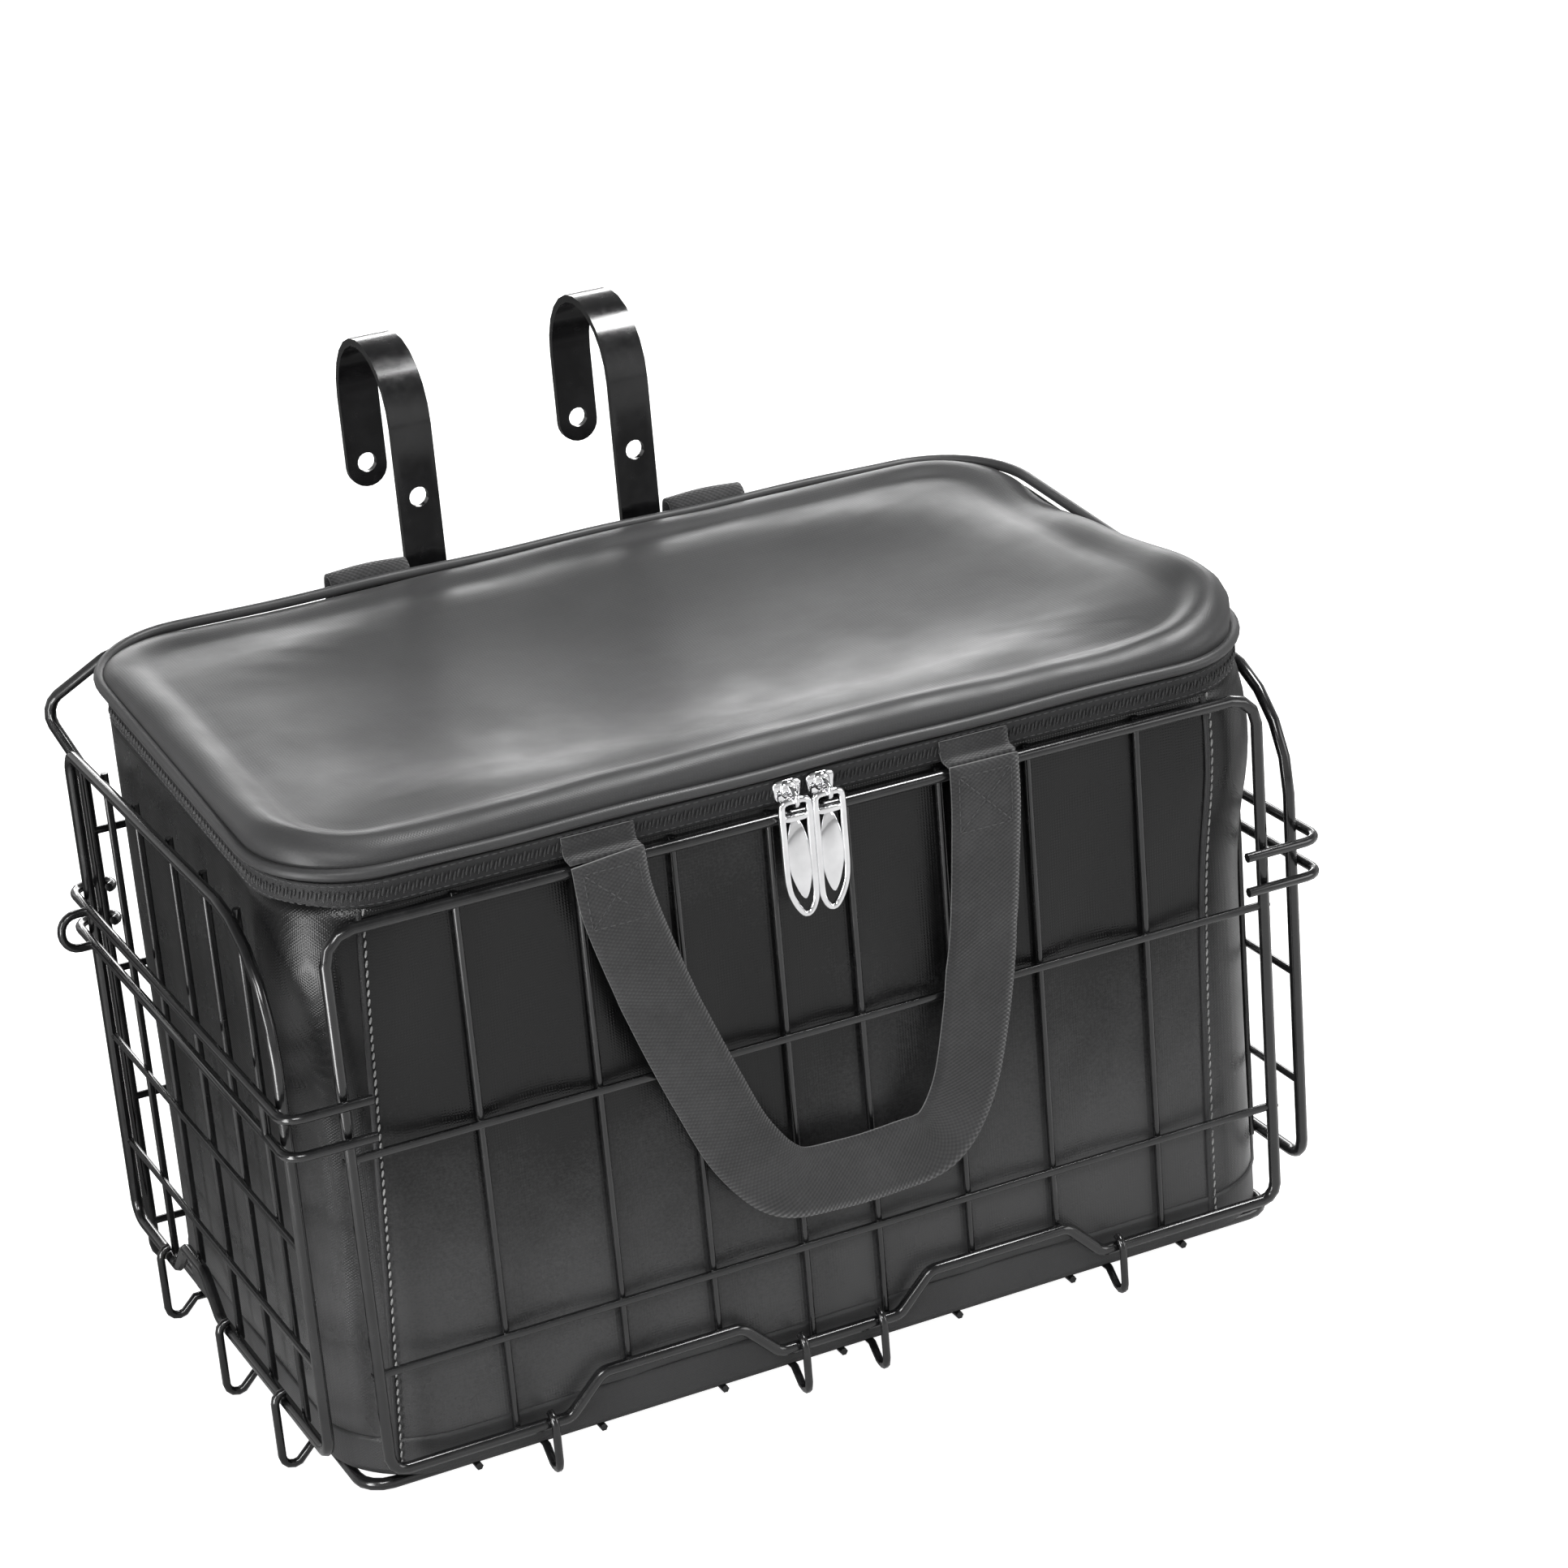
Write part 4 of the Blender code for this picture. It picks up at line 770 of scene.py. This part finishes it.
# a tab's path goes up inside the back grid, over its top wire and down behind it
rearTab = {"places": (-0.072, 0.072), "width": 0.032, "thickness": 0.0015, "path": [
    (0.0815, 0.2100), (0.0838, 0.2218), (0.0850, 0.2338), (0.0846, 0.2430), (0.0866, 0.2468),
    (0.0900, 0.2478), (0.0930, 0.2460), (0.0938, 0.2410), (0.0938, 0.2318), (0.0934, 0.2188),
    (0.0932, 0.2100),
]}
for side, x in zip(sides, rearTab["places"]):
    makeStrip(
        "rear_tab_" + side, [(x, y, pinHeight + z) for y, z in rearTab["path"]], rearTab["width"],
        rearTab["thickness"], webbing, "liner", [side + "_rear_tab"], across=Vector((1, 0, 0)),
        count=48, shapeMove=lambda share, v: 0.0006 * math.sin(share * 9 + v * 4),
    )
print("rear tabs made")

# the cloth between the bag's back and the lid's pivot, inside the back grid
lidHinge = {"reach": 0.152, "width": 0.0125, "thickness": 0.0008, "gap": 0.0012, "rise": 0.0010}
makeStrip(
    "lid_hinge_cloth",
    [(x * lidHinge["reach"], bag["back"] + lidHinge["gap"], bag["backTop"] + lidHinge["rise"])
     for x in (-1, -0.5, 0, 0.5, 1)],
    lidHinge["width"], lidHinge["thickness"], bindingTape, "liner", count=90,
    shapeMove=lambda share, v: 0.0003 * math.sin(share * 40 + v * 3),
)

# the zip's coil has two rows of teeth, each toothLift off the middle line
zipLine = {
    "grow": 0.0009, "rise": 0.0020, "width": 0.0092, "thickness": 0.0008, "count": 480,
    "toothLength": 0.0034, "toothRadius": 0.00042, "toothOut": 0.0008, "toothLift": 0.0004, "toothLean": 0.3,
    "edge": 0.0036, "edgeOut": 0.0004, "stitchLength": 0.0022, "stitchRadius": 0.00020,
}


def zipPath():
    # along the left side, the front and the right side, from one back corner to the other
    run = footprintPoints(zipLine["grow"], lambda spot: zipLine["rise"])
    run = [spot for spot in run if spot.y < bag["back"] - bag["corner"] + 0.0005]
    front = bag["front"] + 0.001
    left = sorted((spot for spot in run if spot.x < 0 and spot.y > front), key=lambda spot: -spot.y)
    middle = sorted((spot for spot in run if spot.y <= front), key=lambda spot: spot.x)
    right = sorted((spot for spot in run if spot.x >= 0 and spot.y > front), key=lambda spot: spot.y)
    return left + middle + right


def makeZip():
    path = zipPath()
    makeStrip(
        "zip_tape_strip", path, zipLine["width"], zipLine["thickness"], zipTapeCloth, "liner",
        ["zip_tape"], count=260,
    )
    count = zipLine["count"]
    spots = smoothPath(path, count)[0]
    runs = [(spots[min(n + 1, count - 1)] - spots[max(n - 1, 0)]).normalized() for n in range(count)]
    teeth = []
    for n in range(1, count - 1):
        away = runs[n].cross(upright).normalized()
        lift = upright * (zipLine["toothLift"] if n % 2 else -zipLine["toothLift"])
        place = spots[n] + away * zipLine["toothOut"] + lift
        teeth.append((place, (upright + runs[n] * zipLine["toothLean"]).normalized()))
    makeStitches(
        "zip_coil_rows", teeth, zipLine["toothLength"], zipLine["toothRadius"], zipCoil, "liner", "zip_tape",
    )
    edges = []
    for height in (zipLine["edge"], -zipLine["edge"]):
        for n in range(0, count, 2):
            place = spots[n] + runs[n].cross(upright) * zipLine["edgeOut"] + upright * height
            edges.append((place, runs[n]))
    makeStitches(
        "zip_tape_stitching", edges, zipLine["stitchLength"], zipLine["stitchRadius"], darkThread, "liner",
        "zip_tape",
    )


makeZip()
print("zip made")

# each seam: x at its top, x at its foot, and whether it is on the front
seam = {
    "lines": [
        (-0.1660, -0.1755, True), (0.1620, 0.1560, True), (-0.1620, -0.1620, False), (0.1620, 0.1620, False),
    ],
    "tube": 0.0010, "steps": 60, "lift": 0.006, "stitchOut": 0.0010, "stitchAside": 0.0017, "lean": 0.25,
    "frontStitch": (0.0030, 0.00042), "rearStitch": (0.0024, 0.00030),
}


def wallPlace(x, front):
    # the place on the bag's rounded front or back corner at x, and the way out
    corner = bag["corner"]
    core = bag["halfWidth"] - corner
    over = max(-corner, min(corner, abs(x) - core))
    sideways = math.asin(max(0.0, over) / corner)
    sign = 1 if x > 0 else -1
    away = Vector((sign * math.sin(sideways), -math.cos(sideways) if front else math.cos(sideways), 0))
    centre = Vector((sign * core, bag["front"] + corner if front else bag["back"] - corner, 0))
    if over <= 0:
        return Vector((x, centre.y + away.y * corner, 0)), Vector((0, away.y, 0))
    return centre + away * corner, away


def makeSeams():
    tubes, ticks = [], {True: [], False: []}
    for top, foot, front in seam["lines"]:
        run = []
        for n in range(seam["steps"] + 1):
            share = n / seam["steps"]
            spot, away = wallPlace(foot + (top - foot) * share, front)
            spot.z = bag["floor"] + seam["lift"] + share * (topHeight(spot.y) - 0.010 - bag["floor"])
            high = (spot.z - bag["floor"]) / (topHeight(spot.y) - bag["floor"])
            spot += away * wallMove(spot, high)
            run.append(spot + away * (0.0004 + 0.0002 * noise.noise(Vector((share * 14, top * 90, 0)))))
            aside = Vector((-away.y, away.x, 0))
            slant = (upright + aside * seam["lean"]).normalized()
            ticks[front].append((spot + away * seam["stitchOut"] + aside * seam["stitchAside"], slant))
        tubes.append(run)
    seams = makeTube("corner_seams", tubes, seam["tube"], bindingTape, "liner", facets=3)
    # the seams become a mesh, and nothing else may be converted with it
    chosen = {"active_object": seams, "object": seams}
    with bpy.context.temp_override(**chosen, selected_objects=[seams], selected_editable_objects=[seams]):
        bpy.ops.object.convert(target="MESH")
    makeStitches("front_seam_stitches", ticks[True], *seam["frontStitch"], paleThread, "liner", "binding")
    makeStitches("rear_seam_stitches", ticks[False], *seam["rearStitch"], darkThread, "liner", "binding")


makeSeams()

band = {
    "grow": 0.0002, "start": 0.0008, "rows": (0.0028, 0.0060, 0.0100, 0.0135, 0.0155), "thickness": 0.0007,
}


def makeBaseBand():
    shape = roundedFootprint(band["grow"], 14, 40)
    ring = list(shape.faces[0].edges)
    bmesh.ops.delete(shape, geom=shape.faces[:], context="FACES_ONLY")
    bmesh.ops.translate(shape, vec=(0, 0, bag["floor"] + band["start"]), verts=shape.verts)
    for height in band["rows"]:
        ring, spots = extrudeRing(shape, ring)
        for spot in spots:
            spot.co.z = bag["floor"] + height + 0.0004 * noise.noise(spot.co * 30)
    bmesh.ops.recalc_face_normals(shape, faces=shape.faces)
    piece = makePiece("bag_base_band", shape, bandCloth, "liner")
    thicken(piece, band["thickness"])


makeBaseBand()
print("seams and base band made")

slider = {
    "left": -0.0075, "right": 0.0055, "y": -0.1438, "z": pinHeight + 0.2145,
    "size": (0.0125, 0.0034, 0.0092), "narrow": 0.84, "taper": 0.32, "crown": (0.0062, 0.0034, 0.0066),
    "bailHigh": 0.0016, "bailLow": -0.0036, "bailReach": 0.0080, "bailMiddle": 0.0045, "bailWire": 0.0009,
}
pull = {
    "y": -0.1500, "top": pinHeight + 0.2129, "width": 0.0105, "length": 0.0430, "wire": 0.0013,
    "leafTop": 0.0070, "leaf": 0.0300, "leafDepth": 0.0016, "leafTilt": 0.0010,
    "collar": (0.0097, 0.0024, 0.0026), "collarTop": 0.0064,
}


def pillow(size, place, roundness=3.2):
    # a rounded block with a crowned front
    shape = bmesh.new()
    bmesh.ops.create_cube(shape, size=2)
    bmesh.ops.subdivide_edges(shape, edges=shape.edges[:], cuts=9, use_grid_fill=True)
    for spot in shape.verts:
        reach = sum(abs(value) ** roundness for value in spot.co) ** (1 / roundness)
        spot.co /= reach
    bmesh.ops.scale(shape, vec=[value / 2 for value in size], verts=shape.verts)
    bmesh.ops.translate(shape, vec=place, verts=shape.verts)
    return shape


def makeSlider(side):
    x, y, z = slider[side], slider["y"], slider["z"]
    shape = pillow(slider["size"], (x, y, z))
    for spot in shape.verts:
        share = (spot.co.z - z) / slider["size"][2]
        spot.co.x = x + (spot.co.x - x) * (slider["narrow"] + slider["taper"] * max(0.0, share))
    makePiece("slider_" + side, shape, chrome, side + "_slider", ["zip_slider_" + side])
    crown = pillow(slider["crown"], (x, y - 0.0016, z + 0.0010), 2.4)
    makePiece("slider_crown_" + side, crown, chrome, side + "_slider")
    high, low, reach = z + slider["bailHigh"], z + slider["bailLow"], y - slider["bailReach"]
    root, middle = y - 0.0008, y - slider["bailMiddle"]
    points = [
        (x, root, high), (x, middle, high + 0.0003), (x, reach, high - 0.0012),
        (x, reach - 0.0004, (high + low) / 2), (x, reach, low + 0.0008), (x, middle, low), (x, root, low),
    ]
    run = smoothPath(points, 26)[0]
    makeTube("slider_bail_" + side, [run], slider["bailWire"], chrome, side + "_slider")


def makePull(side):
    x, y, top = slider[side], pull["y"], pull["top"]
    sign = 1 if side == "left" else -1
    half, low = pull["width"] / 2, top - pull["length"]
    inner, outer = x + sign * half, x - sign * half
    points = [
        (x, y, top), (outer + sign * 0.0008, y, top - 0.0006), (outer, y, top - 0.0040),
        (outer, y, top - 0.0150), (outer + sign * 0.0002, y, top - 0.0300),
        (outer + sign * 0.0018, y, low + 0.0060), (outer + sign * 0.0050, y, low + 0.0006),
        (x + sign * 0.0024, y, low + 0.0001), (inner - sign * 0.0006, y, low + 0.0034),
        (inner, y, low + 0.0090), (inner, y, top - 0.0150), (inner, y, top - 0.0040),
        (inner - sign * 0.0008, y, top - 0.0006), (x, y, top),
    ]
    run = smoothPath(points, 90)[0]
    makeTube(
        "pull_ring_" + side, [run[:-1]], pull["wire"], chrome, side + "_pull",
        ["zip_pull_" + side], cyclic=True, facets=5,
    )
    leaf = bmesh.new()
    bmesh.ops.create_uvsphere(leaf, u_segments=40, v_segments=28, radius=1)
    for spot in leaf.verts:
        below = max(0.0, -spot.co.z)
        narrow = 1 - 0.30 * below ** 2
        spot.co = Vector((
            x + spot.co.x * (half - pull["wire"] * 0.6) * narrow + sign * 0.0008 * below,
            y + spot.co.y * pull["leafDepth"] + spot.co.z * pull["leafTilt"],
            top - pull["leafTop"] - pull["leaf"] / 2 + spot.co.z * pull["leaf"] / 2,
        ))
    makePiece("pull_leaf_" + side, leaf, chrome, side + "_pull")
    collar = pillow(pull["collar"], (x, y, top - pull["collarTop"]))
    makePiece("pull_collar_" + side, collar, chrome, side + "_pull")


for side in sides:
    makeSlider(side)
    makePull(side)
print("sliders and pulls made")

# the front grid folds down where the bag stands; the bag's soft walls each get a mesh of their own
softWalls = (
    "bag_shell", "foil_lining_shell", "corner_seams", "front_seam_stitches", "rear_seam_stitches",
    "bag_base_band",
)
for name in softWalls:
    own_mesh(bpy.data.objects[name])

# what the camera sees of the floor, what mirrors see of it, and how dark it is behind the basket in mirrors
floorTone = {"base": 0.55, "seen": 0.95, "mirrored": 0.10, "baseShade": -0.45, "mirrorShade": -0.09}


def paleFloor():
    shape = bmesh.new()
    bmesh.ops.create_grid(shape, x_segments=1, y_segments=1, size=4)
    bmesh.ops.translate(shape, vec=(0, 0, -0.0002), verts=shape.verts)
    mesh = bpy.data.meshes.new("paleFloor")
    shape.to_mesh(mesh)
    shape.free()
    finish, tree, shader, place = newFinish("paleFloor", Roughness=0.9)
    shader.inputs["Specular IOR Level"].default_value = 0.1
    shader.inputs["Emission Color"].default_value = (1, 1, 1, 1)
    rays = addNode(tree, "ShaderNodeLightPath").outputs
    # behind the basket the floor is dark in mirror images, which keeps the bag's sides dark
    behind = spread(tree, splitOf(tree, place)[1], 0.0, 1.0, -0.02, 0.14)
    shade = sumOf(tree, rays["Is Glossy Ray"], behind, "MULTIPLY")
    base = sumOf(tree, sumOf(tree, shade, floorTone["baseShade"], "MULTIPLY"), floorTone["base"])
    tree.links.new(base, shader.inputs["Base Color"])
    seen = sumOf(tree, rays["Is Camera Ray"], floorTone["seen"], "MULTIPLY")
    mirrored = sumOf(tree, rays["Is Glossy Ray"], floorTone["mirrored"], "MULTIPLY")
    hidden = sumOf(tree, shade, floorTone["mirrorShade"], "MULTIPLY")
    tree.links.new(sumOf(tree, sumOf(tree, seen, mirrored), hidden), shader.inputs["Emission Strength"])
    mesh.materials.append(finish)
    floor = bpy.data.objects.new("paleFloor", mesh)
    scene.collection.objects.link(floor)


def addLamp(name, place, target, width, height, power):
    data = bpy.data.lights.new(name, "AREA")
    data.shape = "RECTANGLE"
    data.size, data.size_y = width, height
    data.energy = power
    lamp = bpy.data.objects.new(name, data)
    lamp.location = place
    lamp.rotation_euler = (Vector(target) - Vector(place)).to_track_quat("-Z", "Y").to_euler()
    lamp.visible_camera = False
    scene.collection.objects.link(lamp)


# the light is bright along the horizon and dark overhead: the height of a direction, and its glow
skyGlow = ((0.0, 0.55), (0.16, 0.70), (0.50, 0.26), (0.85, 0.14))


def paleWorld():
    world = bpy.data.worlds.new("studio")
    world.use_nodes = True
    scene.world = world
    tree = world.node_tree
    tree.nodes.clear()
    seen = addNode(tree, "ShaderNodeBackground", {"Color": (1, 1, 1, 1), "Strength": 1.0})
    light = addNode(tree, "ShaderNodeBackground", {"Strength": 1.0})
    direction = addNode(tree, "ShaderNodeTexCoord")
    ramp = addNode(tree, "ShaderNodeValToRGB")
    ramp.color_ramp.interpolation = "B_SPLINE"
    for n, (height, glow) in enumerate(skyGlow):
        stop = ramp.color_ramp.elements[n] if n < 2 else ramp.color_ramp.elements.new(height)
        stop.position = height
        stop.color = (glow, glow, glow, 1)
    tree.links.new(splitOf(tree, direction.outputs["Generated"])[2], ramp.inputs["Fac"])
    tree.links.new(ramp.outputs["Color"], light.inputs["Color"])
    rays = addNode(tree, "ShaderNodeLightPath").outputs
    every = sumOf(tree, rays["Is Camera Ray"], rays["Is Transmission Ray"], "MAXIMUM")
    mix = addNode(tree, "ShaderNodeMixShader")
    tree.links.new(every, mix.inputs[0])
    tree.links.new(light.outputs[0], mix.inputs[1])
    tree.links.new(seen.outputs[0], mix.inputs[2])
    out = addNode(tree, "ShaderNodeOutputWorld")
    tree.links.new(mix.outputs[0], out.inputs["Surface"])


paleFloor()
paleWorld()
# each lamp: its place, what it points at, its width and height, and its watts
lamps = {
    "keyLamp": ((-0.9, -1.5, 1.5), (0, 0, 0.15), 0.7, 0.5, 15),
    "fillLamp": ((1.5, -1.3, 0.8), (0, 0, 0.12), 0.9, 0.9, 7),
    "sideLamp": ((-1.4, -0.6, 0.50), (-0.15, -0.1, 0.15), 0.30, 0.8, 8),
    "cornerLamp": ((-0.63, -0.30, 0.015), (-0.19, -0.13, 0.17), 0.20, 0.24, 1.9),
    "backLamp": ((0.75, 1.65, 0.70), (0, 0, 0.25), 1.8, 0.45, 15),
    "topLamp": ((0.75, -0.15, 1.75), (0, 0, 0.2), 0.7, 0.4, 26),
}
for name, settings in lamps.items():
    addLamp(name, *settings)
scene.view_settings.view_transform = "Standard"
print("studio ready")
